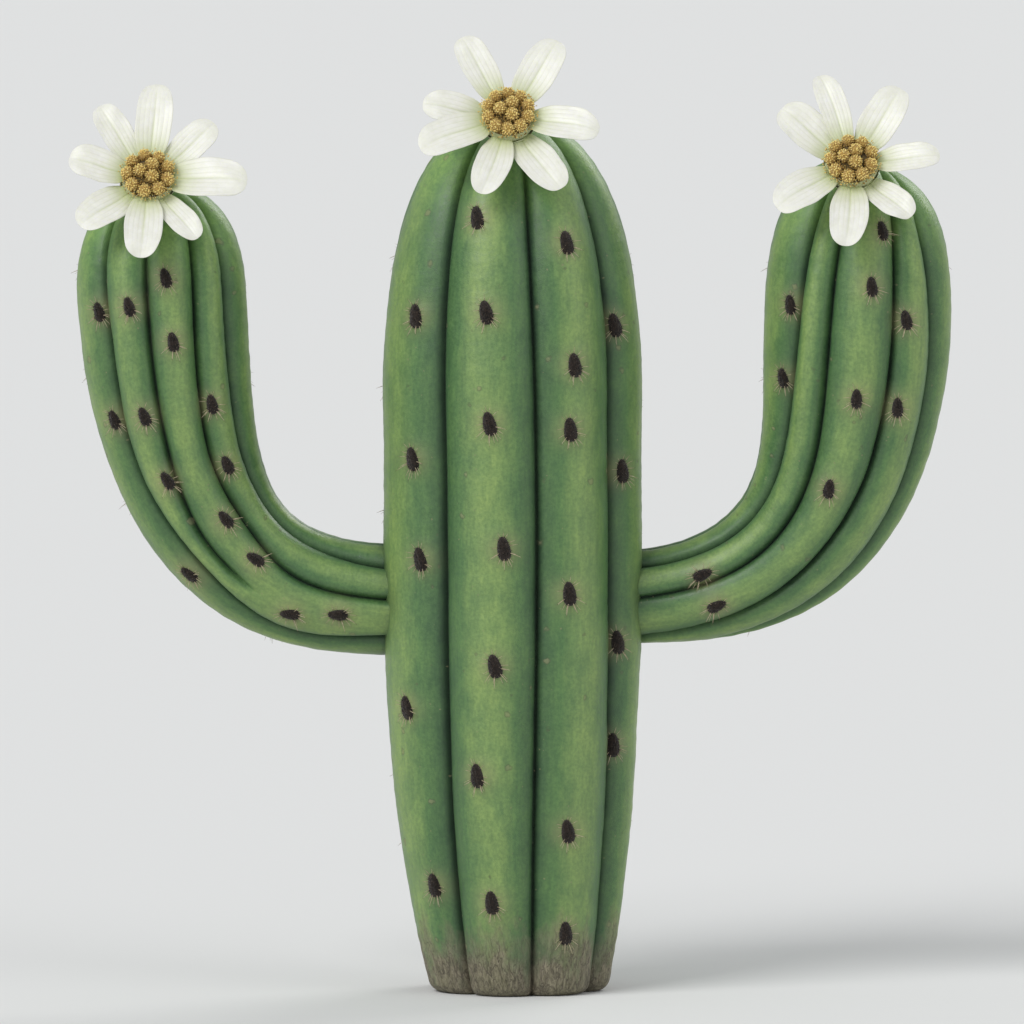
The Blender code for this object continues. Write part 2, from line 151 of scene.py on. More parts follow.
def blend_colours(tree, share, first, second, mode="MIX"):
    """The second colour over the first, by the share."""
    inputs = {"Factor": share, FIRST_COLOUR: first, SECOND_COLOUR: second}
    node = add_node(tree, "ShaderNodeMix", inputs, data_type="RGBA", blend_type=mode)
    return node.outputs[MIXED_COLOUR]


def attribute(tree, name):
    return add_node(tree, "ShaderNodeAttribute", attribute_name=name).outputs["Fac"]


def own_place(tree):
    """Where each point of the surface is, in the object's own metres."""
    return add_node(tree, "ShaderNodeTexCoord").outputs["Object"]


def drawn_out(tree, place, stretch):
    """A place whose patterns are longer along Z than they are wide."""
    squeeze = add_node(tree, "ShaderNodeCombineXYZ", {"X": stretch, "Y": stretch, "Z": 1})
    inputs = {0: place, 1: squeeze.outputs[0]}
    return add_node(tree, "ShaderNodeVectorMath", inputs, operation="MULTIPLY").outputs[0]


def new_group(name, inputs, outputs):
    """A shader group, its entry's sockets and its exit's sockets."""
    group = bpy.data.node_groups.new(name, "ShaderNodeTree")
    kinds = {1: "NodeSocketFloat", 3: "NodeSocketVector", 4: "NodeSocketColor"}
    for socket_name, default in inputs.items():
        kind = kinds[np.size(default)]
        socket = group.interface.new_socket(socket_name, in_out="INPUT", socket_type=kind)
        socket.default_value = default
    for socket_name, kind in outputs.items():
        group.interface.new_socket(socket_name, in_out="OUTPUT", socket_type=kind)
    entry = group.nodes.new("NodeGroupInput").outputs
    return group, entry, group.nodes.new("NodeGroupOutput").inputs


def use_group(tree, group, inputs):
    return add_node(tree, "ShaderNodeGroup", inputs, node_tree=group).outputs


def new_material(name, **shader_values):
    """A material, its tree and its Principled shader with these constant values."""
    material = bpy.data.materials.new(name)
    material.use_nodes = True
    tree = material.node_tree
    shader = tree.nodes["Principled BSDF"]
    for socket, value in shader_values.items():
        shader.inputs[socket.replace("_", " ")].default_value = value
    return material, tree, shader


def uneven(tree, mask, least, spread):
    """The least value where the mask is 0, and the spread more where it is 1."""
    return plus(tree, times(tree, mask, spread), least)


def finish_material(tree, shader, colour, roughness, height, strength, distance):
    """Feeds the shader a colour, a roughness and a bump from a height map."""
    tree.links.new(colour, shader.inputs["Base Color"])
    tree.links.new(roughness, shader.inputs["Roughness"])
    inputs = {"Height": height, "Strength": strength, "Distance": distance}
    bump = add_node(tree, "ShaderNodeBump", inputs)
    tree.links.new(bump.outputs["Normal"], shader.inputs["Normal"])


print("node helpers ready")

# %% [markdown]
# ## Five shared effects
#
# Plant surfaces differ less than they seem. Nearly all are *mottled*, in soft patches drawn out along
# the way they grew. Many are *spotted*, with scars, corky dots or pollen, and *rippled* by the pace
# of growth. Old skin is *cracked*, and everything has a *grain*. Each effect is a group, so one that
# several finishes share is written once and used with other numbers.
#
# Every group is given the place that it reads. Mostly that is the object's own coordinates in
# metres, so a scale is a real one. A bent limb hands in the place that the point would have if the
# limb were straight, and then streaks follow the bend.

# %% Mottle group
HERE = (0.0, 0.0, 0.0)
GREY = (0.5, 0.5, 0.5, 1)

mottle, given, result = new_group(
    "mottle",
    {"Place": HERE, "Light": GREY, "Dark": GREY, "Scale": 10.0, "Softness": 0.2, "Stretch": 1.0},
    {"Colour": "NodeSocketColor", "Mask": "NodeSocketFloat"},
)
place = drawn_out(mottle, given["Place"], given["Stretch"])
cloud = noise(mottle, place, given["Scale"], detail=3, roughness=0.62)
low = minus(mottle, 0.5, given["Softness"])
high = plus(mottle, 0.5, given["Softness"])
patches = remap(mottle, cloud, low, high)
patched = blend_colours(mottle, patches, given["Dark"], given["Light"])
mottle.links.new(patched, result["Colour"])
mottle.links.new(patches, result["Mask"])
print("group:", mottle.name)

# %% [markdown]
# ## Spots
#
# A scar, a corky dot or a grain of pollen is round, but never a perfect circle, and each has its own
# size. They could be set one by one. A Voronoi pattern scatters them by itself: one spot to a cell, in
# those cells whose random number is below `Share`. A second random number sets the size, and a fine
# noise added to the distance frays the edge.

# %% Spots group
FRAY_FINENESS = 4  # the noise that frays the edge is this many times finer than the cells
FRAYING = 2.2  # how strongly it moves the edge
LEAST_SPOT, SPOT_SPREAD = 0.4, 0.7  # the smallest spot, and how much larger others get, in radii

spots, given, result = new_group(
    "spots",
    {"Place": HERE, "Scale": 40.0, "Radius": 0.25, "Softness": 0.1, "Share": 0.5},
    {"Mask": "NodeSocketFloat", "Rim": "NodeSocketFloat"},
)
cells = {"Vector": given["Place"], "Scale": given["Scale"]}
cells = add_node(spots, "ShaderNodeTexVoronoi", cells).outputs
ragged = noise(spots, given["Place"], times(spots, given["Scale"], FRAY_FINENESS), detail=1)
ragged = times(spots, minus(spots, ragged, 0.5), given["Radius"])
distance = plus(spots, cells["Distance"], times(spots, ragged, FRAYING))
draw = add_node(spots, "ShaderNodeSeparateColor", {"Color": cells["Color"]}).outputs
size = times(spots, given["Radius"], uneven(spots, draw[1], LEAST_SPOT, SPOT_SPREAD))
disc = remap(spots, distance, size, minus(spots, size, given["Softness"]))
wide = remap(spots, distance, plus(spots, size, given["Softness"]), size)
chosen = maths(spots, "LESS_THAN", draw[0], given["Share"])
spots.links.new(times(spots, disc, chosen), result["Mask"])
rim = minus(spots, wide, disc, clamp=True)
spots.links.new(times(spots, rim, chosen), result["Rim"])
print("group:", spots.name)

# %% [markdown]
# ## Ripples
#
# Growth leaves folds across a limb and rings round a spine. A Wave texture makes such bands, but ruled
# ones. Here the sine is taken of a height that a slow noise has shifted first, so the bands drift, and
# `Wander` says how far.

# %% Ripples group
DRIFT_SCALE = 9  # of the slow noise

ripples, given, result = new_group(
    "ripples", {"Place": HERE, "Spacing": 0.02, "Wander": 0.02}, {"Height": "NodeSocketFloat"}
)
along = add_node(ripples, "ShaderNodeSeparateXYZ", {0: given["Place"]}).outputs["Z"]
drift = noise(ripples, given["Place"], DRIFT_SCALE, detail=2)
along = plus(ripples, along, times(ripples, drift, given["Wander"]))
turns = maths(ripples, "DIVIDE", along, given["Spacing"])
wave = maths(ripples, "SINE", times(ripples, turns, 2 * math.pi))
ripples.links.new(wave, result["Height"])
print("group:", ripples.name)

# %% [markdown]
# ## Cracks
#
# Old cork splits lengthwise, because the stem goes on swelling inside a skin that no longer stretches.
# The edges of Voronoi cells would look like a giraffe's coat. Noise has lines hidden in it: the places
# where it is just halfway between low and high. Drawn out along Z they are fissures, and a second,
# finer set fills in between them.

# %% Cracks group
SECOND_SET = (2.3, 0.6)  # the finer set's scale and depth, against the first one's

cracks, given, result = new_group(
    "cracks",
    {"Place": HERE, "Scale": 20.0, "Stretch": 3.0, "Width": 0.04},
    {"Mask": "NodeSocketFloat"},
)
place = drawn_out(cracks, given["Place"], given["Stretch"])
finer = times(cracks, given["Scale"], SECOND_SET[0])
splits = []
for scale, depth in ((given["Scale"], 1.0), (finer, SECOND_SET[1])):
    field = noise(cracks, place, scale, detail=3, roughness=0.55)
    off = maths(cracks, "ABSOLUTE", minus(cracks, field, 0.5))
    splits.append(remap(cracks, off, given["Width"], 0, depth))
cracks.links.new(maths(cracks, "MAXIMUM", *splits), result["Mask"])
print("group:", cracks.name)

# %% [markdown]
# ## Grain
#
# No plant surface is smooth from close by: skin has pores, felt has matted hair and a petal has a waxy
# bloom. Fine noise with the pits of a small Voronoi pattern serves for them all, because the eye reads
# little more from such a bump than its scale and how pitted it is.

# %% Grain group
grain, given, result = new_group(
    "grain",
    {"Place": HERE, "Scale": 200.0, "Pits": 0.3, "Stretch": 1.0},
    {"Height": "NodeSocketFloat"},
)
place = drawn_out(grain, given["Place"], given["Stretch"])
fine = noise(grain, place, given["Scale"], detail=2, roughness=0.65)
pores = add_node(grain, "ShaderNodeTexVoronoi", {"Vector": place, "Scale": given["Scale"]})
pits = times(grain, pores.outputs["Distance"], given["Pits"])
grain.links.new(plus(grain, fine, pits), result["Height"])
print("group:", grain.name)

# %% [markdown]
# ## Studio
#
# The floor is one pale sheet that runs on past everything the camera sees, so that there is no
# horizon behind the plant. The light is soft and even: a bright room, one broad light from the upper
# left, a weaker one to fill the right, and one from behind that draws a thin bright edge and also
# serves the back of the plant. Suns light a floor this wide evenly, which area lights would not.

# %% Studio
FLOOR_REACH = 600
FLOOR_DROP = 0.001  # under the plant's foot
PAPER_GREY = (0.73, 0.73, 0.72, 1)
ROOM_COLOUR = (0.94, 0.97, 1, 1)
ROOM_LIGHT = 0.46
SUN_SOFTNESS = math.radians(32)
SUNS = {  # direction it comes from, strength
    "key": ((-0.62, -0.66, 0.72), 1.9),
    "fill": ((0.90, -0.55, 0.45), 0.45),
    "rim": ((0.55, 0.80, 0.55), 0.95),
}

bpy.ops.mesh.primitive_plane_add(size=FLOOR_REACH, location=(0, 0, -FLOOR_DROP))
floor = bpy.context.object
floor.name = "floor"
paper, _, _ = new_material(
    "studio paper", Base_Color=PAPER_GREY, Roughness=0.9, Specular_IOR_Level=0.1
)
floor.data.materials.append(paper)

bpy.context.scene.view_settings.view_transform = "Standard"
world = bpy.data.worlds.new("room")
bpy.context.scene.world = world
world.use_nodes = True
room = world.node_tree.nodes["Background"].inputs
room["Color"].default_value = ROOM_COLOUR
room["Strength"].default_value = ROOM_LIGHT
for name, (direction, strength) in SUNS.items():
    sun = bpy.data.objects.new(name, bpy.data.lights.new(name, "SUN"))
    sun.data.energy = strength
    sun.data.angle = SUN_SOFTNESS
    sun.rotation_euler = Vector(direction).to_track_quat("Z", "Y").to_euler()
    bpy.context.scene.collection.objects.link(sun)
print("suns:", ", ".join(SUNS))

# %% [markdown]
# ## Sizes of the plant
#
# Every limb is one idea: a centreline, a radius along it, and grooves whose bearings drift a little
# on their way up. A bearing is measured round the limb in degrees: 0 at the front, 90 at the right
# of the trunk and underneath and outside on an arm, 180 at the back. Two grooves run up the sides,
# and the back mirrors the front.

# %% Trunk sizes
RIB_DEPTH = 0.13  # of the radius, in the grooves
RIB_ROUNDNESS = 0.75  # the lower, the flatter the crest and the sharper the groove
DOME_POWER = 2.5  # the tips are domed as a superellipse of this power
TRUNK_HEIGHT = 2.44
TRUNK_RADIUS = 0.38
TRUNK_DOME_BASE = 1.60
BELLY_BASE = 1.515
FOOT_NARROWING = 0.32
FOOT_NARROWING_POWER = 2.9
FOOT_ROUNDING = 0.028
LEAN = 0.021
LEAN_HEIGHT = 1.0
TRUNK_GROOVE_STATIONS = (0, 0.5, 0.9)  # shares of the height, at which each groove has a bearing
TRUNK_GROOVES = ((-36, -33, -36), (10, 13, 10), (60, 55, 53))
TRUNK_AREOLES = (  # height, bearing
    (1.91, -48), (1.51, -48), (1.23, -44), (0.81, -53), (0.31, -47),
    (2.19, -18), (1.93, -11), (1.62, -9), (1.27, -3), (0.94, -7), (0.63, -16), (0.27, -12),
    (2.12, 28), (1.78, 28), (1.60, 26), (1.14, 26), (0.47, 27), (0.18, 28),
    (1.88, 57), (1.47, 60), (0.99, 59), (0.70, 59),
)
TRUNK_SIDE_AREOLES = (  # these stand just behind the outline
    (2.02, 117), (1.66, 117), (1.26, 116), (0.84, 117), (0.49, 116), (0.21, 118),
    (2.06, -119), (1.69, -120), (1.34, -119), (1.00, -120), (0.60, -119), (0.42, -121),
)
print("trunk areoles in front:", len(TRUNK_AREOLES))

# %% [markdown]
# ## Sizes of the arms
#
# The two arms are one form with other numbers. A small class lists what an arm needs, and each arm
# fills it in by name, where a plain tuple would leave bare numbers to count off. Places on an arm are
# shares of its length, so grooves and areoles keep their places if the arm grows longer.

# %% Arm sizes
@dataclass
class ArmShape:
    name: str
    side: int  # 1 on the right, -1 on the left
    root: tuple  # x, z
    root_rise: float  # radians above the level
    root_pull: float  # how far the curve holds its direction
    tip: tuple  # x, z
    tip_lean: float  # radians off the upright, towards +X
    tip_pull: float
    root_radius: float
    tip_radius: float
    swelling: float  # above 1 the arm thickens late, below 1 early
    dome: float  # length of the rounded tip
    grooves: tuple  # each one's bearings at the stations
    fades: dict  # groove: the shares of the length at which it begins and is at its full depth
    areoles: tuple  # share of the length, bearing
    side_areoles: tuple


ARM_GROOVE_STATIONS = (0, 0.15, 0.3, 0.5, 0.7, 0.9)
ARM_CURVE_POINTS = 200
LEFT_ARM = ArmShape(
    name="arm_left", side=-1, root=(-0.378, 1.096), root_rise=0.03, root_pull=0.539,
    tip=(-1.010, 2.258), tip_lean=-0.02, tip_pull=0.802, root_radius=0.160, tip_radius=0.247,
    swelling=1.16, dome=0.345, fades={2: (0.20, 0.30)},
    grooves=(
        (-44, -56, -60, -54, -51, -52), (-4, -10, -27, -23, -24, -27),
        (18, 20, 16, 11, 10, 10), (41, 51, 34, 42, 41, 46),
    ),
    areoles=(
        (0.84, -4), (0.79, 21), (0.78, 48), (0.72, -6), (0.59, -29), (0.59, 20), (0.59, 48),
        (0.46, -32), (0.47, 17), (0.36, -12), (0.26, -8), (0.32, 48), (0.16, 25), (0.08, 15),
    ),
    side_areoles=(
        (0.85, 121), (0.67, 121), (0.45, 121), (0.18, 121), (0.81, -121), (0.62, -121), (0.40, -121),
    ),
)
RIGHT_ARM = ArmShape(
    name="arm_right", side=1, root=(0.339, 1.107), root_rise=0.04, root_pull=0.796,
    tip=(0.981, 2.323), tip_lean=0.25, tip_pull=0.426, root_radius=0.131, tip_radius=0.272,
    swelling=0.83, dome=0.444, fades={3: (0.10, 0.22)},
    grooves=(
        (-49, -52, -52, -49, -42, -36), (-1, -10, -18, -21, -19, -14),
        (66, 42, 25, 23, 25, 26), (78, 76, 63, 58, 56, 48),
    ),
    areoles=(
        (0.89, 15), (0.79, 8), (0.75, -47), (0.73, 31), (0.61, -52), (0.59, 2), (0.58, 30),
        (0.42, -2), (0.12, -18), (0.13, 19),
    ),
    side_areoles=(
        (0.83, 120), (0.65, 121), (0.48, 120), (0.33, 120), (0.18, 121), (0.81, -122), (0.60, -121),
    ),
)
print("arm areoles in front:", len(LEFT_ARM.areoles), "and", len(RIGHT_ARM.areoles))

# %% [markdown]
# ## The limb rule
#
# The skin of a ribbed limb could be a stack of circles pushed in and out by modifiers, but grooves
# that drift and fade are easier to say than to model: the class after this cell answers where the
# skin is for any distance along a limb and any bearing round it. It takes whole arrays, so a hundred
# thousand points cost no more than a blink.
#
# On top of the plain ribs it adds what a living skin has: a narrow crease at the bottom of each
# groove, a low mound under each areole, faint swellings from one spell of growth to the next, furrows
# in the old skin at the foot, and slow waves with no pattern to them.

# %% Skin relief
CREASE_DEPTH = 0.012
CREASE_WIDTH = 0.008
MOUND_HEIGHT = 0.0045
MOUND_REACH = 0.042
WAVES = ((0.0018, 0.45, 9), (0.0004, 0.12, 12), (0.0004, 0.045, 14))  # height, length, how many
WAVE_SPREAD = (0.7, 1.5)  # shortest and longest of them, as shares of the length
GROWTH_STEP = 0.050  # one swelling of the rib to the next
GROWTH_HEIGHT = 0.0003
GROWTH_DRIFT = (0.01, 9)  # how far the swellings stray, and how fast they do on the way up
CORK_HEIGHT = 0.34  # up to here old skin turns to cork
FURROWS = ((0.0009, 0.062, 9), (0.0007, 0.037, 14))  # depth, spacing round the limb, drift upwards
FURROW_DRIFT = 0.25  # how far a furrow strays to either side, in spacings
FURROW_ROUNDNESS = 3  # the higher, the narrower the furrows
FULL_RELIEF_RADIUS = 0.12  # where a limb is thinner than this, the relief dies away
BACK_AREOLE_DROP = 0.03
FRONT = np.array((0.0, -1.0, 0.0))
SEED = 7
rng = np.random.default_rng(SEED)


def unit(vectors):
    return vectors / np.linalg.norm(vectors, axis=-1, keepdims=True)


def make_waves(height, length, count):
    ways = unit(rng.normal(size=(count, 3)))
    ways *= 2 * np.pi / (length * rng.uniform(*WAVE_SPREAD, (count, 1)))
    return height, ways, rng.uniform(0, 2 * np.pi, count)


WAVE_SETS = [make_waves(*wave) for wave in WAVES]


def wander(points):
    """Slow waves through space, in metres: sums of sines in random directions."""
    total = np.zeros(points.shape[:-1])
    for height, ways, phases in WAVE_SETS:
        total += height * np.sin(points @ ways.T + phases).sum(axis=-1) / math.sqrt(len(phases))
    return total


def smoothstep(x):
    x = np.clip(x, 0, 1)
    return x * x * (3 - 2 * x)


def glide(stations, values, at):
    """Each row of values, given at the stations, read at places between them along a smooth curve."""
    slopes = np.gradient(values, stations, axis=1)
    i = np.clip(np.searchsorted(stations, at) - 1, 0, len(stations) - 2)
    width = stations[i + 1] - stations[i]
    t = np.clip((at - stations[i]) / width, 0, 1)
    return (
        values[:, i] * (1 + 2 * t) * (1 - t) ** 2
        + values[:, i + 1] * t * t * (3 - 2 * t)
        + slopes[:, i] * width * t * (1 - t) ** 2
        - slopes[:, i + 1] * width * t * t * (1 - t)
    )


print("wave sets:", len(WAVE_SETS))


# %% [markdown]
# ## A limb that answers
#
# To stand a spine on a mesh, one could cast rays at it. Asking the rule that shapes it is exact, and
# quicker: `skin` answers with a point, `facing` with the way that it faces, and `nearness` with how
# close the next areole is. Cushions, spines and wool all stand on these three answers.

# %% Limb
class Limb:
    def __init__(
        self, name, length, side, frame_at, radius,
        stations, grooves, areoles, side_areoles, fades=None,
    ):
        self.name = name
        self.length = length
        self.side = side
        self.frame_at = frame_at
        self.radius = radius
        self.stations = np.array(stations, float)
        self.front_grooves = np.array(grooves, float)
        self.fades = fades or {}
        back = [(along - BACK_AREOLE_DROP, 180 - bearing) for along, bearing in areoles]
        self.areoles = np.array([*areoles, *back, *side_areoles], float)

    def grooves(self, along):
        """Bearings of the grooves from -90 round to 270, and each one's share of the full depth."""
        share = along / self.length
        front = glide(self.stations, self.front_grooves, share)
        depths = np.ones_like(front)
        for groove, (start, full) in self.fades.items():
            depths[groove] = smoothstep((share - start) / (full - start))
        edge = np.full((1, len(along)), 90.0)
        full = np.ones_like(edge)
        bearings = np.concatenate([-edge, front, edge, 180 - front[::-1], 3 * edge])
        return bearings, np.concatenate([full, depths, full, depths[::-1], full])

    def way_out(self, along, bearing):
        """The centre and the axis at each place along the limb, and the way out at the bearing."""
        centre, axis = self.frame_at(along)
        outward = np.stack([axis[:, 2], 0 * along, -axis[:, 0]], axis=1) * self.side
        angle = np.radians(bearing)[:, None]
        return centre, axis, np.sin(angle) * outward + np.cos(angle) * FRONT

    def skin(self, along, bearing, relief=True):
        """Points on the skin, and how near each is to its rib's crest (0 in the groove, 1 on top)."""
        bearings, depths = self.grooves(along)
        turned = (bearing + 90) % 360 - 90
        rib = np.clip((bearings <= turned).sum(axis=0) - 1, 0, len(bearings) - 2)
        column = np.arange(len(along))
        start, end = bearings[rib, column], bearings[rib + 1, column]
        across = (turned - start) / (end - start)
        depth = np.where(across < 0.5, depths[rib, column], depths[rib + 1, column])
        crest = np.sin(np.pi * np.clip(across, 0, 1)) ** RIB_ROUNDNESS
        radius = self.radius(along)
        centre, _, way = self.way_out(along, turned)
        reach = radius * (1 - RIB_DEPTH * depth * (1 - crest))
        if relief:
            from_groove = np.minimum(across, 1 - across) * np.radians(end - start) * radius
            extra = -CREASE_DEPTH * depth * np.exp(-((from_groove / CREASE_WIDTH) ** 2))
            extra += MOUND_HEIGHT * self.nearness(along, turned, MOUND_REACH)
            angle = np.radians(turned)
            drifted = along + GROWTH_DRIFT[0] * np.sin(GROWTH_DRIFT[1] * along + angle)
            swell = np.sin(2 * np.pi * drifted / GROWTH_STEP)
            extra += GROWTH_HEIGHT * swell * crest
            old = 1 - smoothstep(centre[:, 2] / CORK_HEIGHT)
            for deep, spacing, drift in FURROWS:
                turns = angle * radius / spacing + FURROW_DRIFT * np.sin(drift * along)
                extra -= deep * old * np.abs(np.sin(np.pi * turns)) ** FURROW_ROUNDNESS
            extra += wander(centre + reach[:, None] * way)
            reach = reach + extra * np.clip(radius / FULL_RELIEF_RADIUS, 0, 1)
        return centre + reach[:, None] * way, 1 - depth * (1 - crest)

    def nearness(self, along, bearing, distance):
        """1 at an areole, falling to 0 at a few times the distance from it."""
        radius = self.radius(along)
        nearest = np.full(len(along), np.inf)
        for place, turn in self.areoles:
            round_it = np.radians((bearing - turn + 180) % 360 - 180) * radius
            nearest = np.minimum(nearest, (along - place) ** 2 + round_it**2)
        return np.exp(-nearest / distance**2)

    def facing(self, along, bearing):
        """At each place: across the limb, along it, and out of its skin, as unit vectors."""
        step, turn = 0.01, 2  # metres and degrees to the points on either side

        def at(shift, twist):
            return self.skin(along + shift, bearing + twist, relief=False)[0]

        up = at(step, 0) - at(-step, 0)
        outward = np.cross(at(0, turn) - at(0, -turn), up)
        centre, _ = self.frame_at(along)
        flip = ((at(0, 0) - centre) * outward).sum(axis=1) < 0
        outward[flip] *= -1
        up, outward = unit(up), unit(outward)
        return np.cross(up, outward), up, outward


print("limb rule ready")

# %% [markdown]
# ## Centrelines
#
# The trunk stands upright with a slight lean at its foot, and an arm is one Bezier curve from the trunk
# to its tip. A curve object with a bevel would show the tube, but can't say where a place on it is. So
# the curve is read as points with the distance travelled at each, and a limb looks its centre up there.

# %% Centrelines and radii
def dome_share(share):
    return (1 - np.clip(share, 0, 1) ** DOME_POWER) ** (1 / DOME_POWER)


def trunk_frame(height):
    share = 1 - np.minimum(height / LEAN_HEIGHT, 1)
    centre = np.stack([-LEAN * (1 - share**2), 0 * height, height], axis=1)
    return centre, np.tile((0.0, 0.0, 1.0), (len(height), 1))


def trunk_radius(height):
    low = np.maximum((BELLY_BASE - height) / BELLY_BASE, 0)
    radius = TRUNK_RADIUS * (1 - FOOT_NARROWING * low**FOOT_NARROWING_POWER)
    radius *= dome_share((height - TRUNK_DOME_BASE) / (TRUNK_HEIGHT - TRUNK_DOME_BASE))
    below = np.maximum(1 - height / FOOT_ROUNDING, 0)
    return radius - FOOT_ROUNDING * (1 - np.sqrt(1 - np.minimum(below, 1) ** 2))


def make_arm(arm):
    root = Vector((arm.root[0], 0, arm.root[1]))
    tip = Vector((arm.tip[0], 0, arm.tip[1]))
    start = Vector((arm.side * math.cos(arm.root_rise), 0, math.sin(arm.root_rise)))
    end = Vector((math.sin(arm.tip_lean), 0, math.cos(arm.tip_lean)))
    curve = interpolate_bezier(
        root, root + start * arm.root_pull, tip - end * arm.tip_pull, tip, ARM_CURVE_POINTS
    )
    points = np.array(curve)
    travelled = np.concatenate([[0], np.cumsum(np.linalg.norm(np.diff(points, axis=0), axis=1))])
    axes = np.gradient(points, travelled, axis=0)
    length = float(travelled[-1])

    def frame_at(along):
        centre = np.stack([np.interp(along, travelled, points[:, k]) for k in range(3)], axis=1)
        axis = np.stack([np.interp(along, travelled, axes[:, k]) for k in range(3)], axis=1)
        return centre + np.minimum(along, 0)[:, None] * np.array(start), unit(axis)

    def radius(along):
        growth = smoothstep(along / (length - arm.dome)) ** arm.swelling
        wall = arm.root_radius + (arm.tip_radius - arm.root_radius) * growth
        return wall * dome_share((along - (length - arm.dome)) / arm.dome)

    def in_metres(places):
        return [(share * length, bearing) for share, bearing in places]

    return Limb(
        arm.name, length, arm.side, frame_at, radius, ARM_GROOVE_STATIONS, arm.grooves,
        in_metres(arm.areoles), in_metres(arm.side_areoles), arm.fades,
    )


trunk = Limb(
    "trunk", TRUNK_HEIGHT, 1, trunk_frame, trunk_radius, TRUNK_GROOVE_STATIONS, TRUNK_GROOVES,
    TRUNK_AREOLES, TRUNK_SIDE_AREOLES,
)
arms = [make_arm(arm) for arm in (LEFT_ARM, RIGHT_ARM)]
LIMBS = (trunk, *arms)
print("arm lengths:", [round(arm.length, 3) for arm in arms])

# %% [markdown]
# ## Meshes from arrays
#
# Everything below ends as points and faces in arrays. One helper turns them into an object, keeps
# any per-point values as named attributes that a material can read, shades it smooth and ties it to
# the plant's one body and to the finish that it belongs to.

# %% Mesh helpers
def dress(name, points, faces, materials, replaced=(), values=None, material_index=None):
    """A piece of the plant from points and faces, with its finish and per-point values."""
    mesh = bpy.data.meshes.new(name)
    mesh.from_pydata(np.asarray(points).tolist(), [], faces)
    mesh.shade_smooth()
    for key, numbers in (values or {}).items():
        numbers = np.asarray(numbers, np.float32)
        kind, field = ("FLOAT", "value") if numbers.ndim == 1 else ("FLOAT_VECTOR", "vector")
        stored = mesh.attributes.new(key, kind, "POINT")
        stored.data.foreach_set(field, numbers.ravel())
    for material in materials:
        mesh.materials.append(material)
    if material_index is not None:
        mesh.polygons.foreach_set("material_index", np.asarray(material_index, np.int32))
    piece = bpy.data.objects.new(name, mesh)
    bpy.context.scene.collection.objects.link(piece)
    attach(piece, "root")
    if replaced:
        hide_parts(*replaced)
    return piece


def grid_faces(rows, columns, closed=True):
    """Quads between the rows of a grid of points. Closed, the last column joins the first."""
    across = columns if closed else columns - 1
    row, column = np.meshgrid(np.arange(rows - 1), np.arange(across), indexing="ij")
    a = row * columns + column
    b = row * columns + (column + 1) % columns
    return np.stack([a, b, b + columns, a + columns], axis=-1).reshape(-1, 4)


def copied_faces(faces, point_count, copies):
    """One mesh's faces for each of its copies, whose points follow one another."""
    starts = range(0, copies * point_count, point_count)
    return [[start + i for i in face] for start in starts for face in faces]


def join(meshes):
    """(points, faces) pairs as one pair."""
    points, faces, start = [], [], 0
    for some_points, some_faces in meshes:
        points.append(some_points)
        faces += [[start + i for i in face] for face in some_faces]
        start += len(some_points)
    return np.concatenate(points), faces


print("mesh helpers ready")

# %% [markdown]
# ## Skin finish
#
# A saguaro's skin is a leathery, waxed green. It is a deeper green down in the grooves, and paler
# and yellower on the crests, where sun and wind wear the wax. At the very bottom of each groove the
# colour is near black: painted shade on top of that deeper green. New growth at the tips is fresh
# green. Round each areole the skin is bleached to straw, small dry scars are scattered over all of
# it, and old skin near the ground turns to cracked grey-brown cork, which climbs higher on the crests
# than in the grooves.
#
# The colours that have a place read attributes of the mesh, such as `crest`. One of them, `grown`, is
# the place that a point would have on a straight limb, and the shared effects read that.

# %% Green of the ribs
# The groove's near-black is the skin's deeper green with painted shade on it.
GROOVE_GREEN_AND_SHADE = (0.010, 0.028, 0.013, 1)
FLANK_GREEN = (0.088, 0.180, 0.062, 1)
CREST_GREEN = (0.190, 0.290, 0.098, 1)
FRESH_GREEN = (0.200, 0.360, 0.090, 1)
RIB_COLOURS_AND_SHADE = (  # how far up the rib, colour
    (0.00, GROOVE_GREEN_AND_SHADE), (0.12, (0.018, 0.048, 0.021, 1)), (0.31, (0.052, 0.118, 0.044, 1)),
    (0.72, FLANK_GREEN), (1.00, CREST_GREEN),
)
PATCHES = {"Light": (1.12, 1.09, 1.00, 1), "Dark": (0.82, 0.89, 0.91, 1), "Scale": 8, "Stretch": 1.8}
STREAKS = {"Light": (1.10, 1.09, 1.04, 1), "Dark": (0.88, 0.91, 0.91, 1), "Scale": 13, "Stretch": 6}
FLECKS = {"Light": (1.12, 1.10, 1.06, 1), "Dark": (0.84, 0.88, 0.88, 1), "Scale": 110}
STREAK_SOFTNESS, FLECK_SOFTNESS = 0.16, 0.13
PATCH_SHIFT = 0.10  # how far up or down the rib the patches push its colours
FRESH_SHARE = 0.7


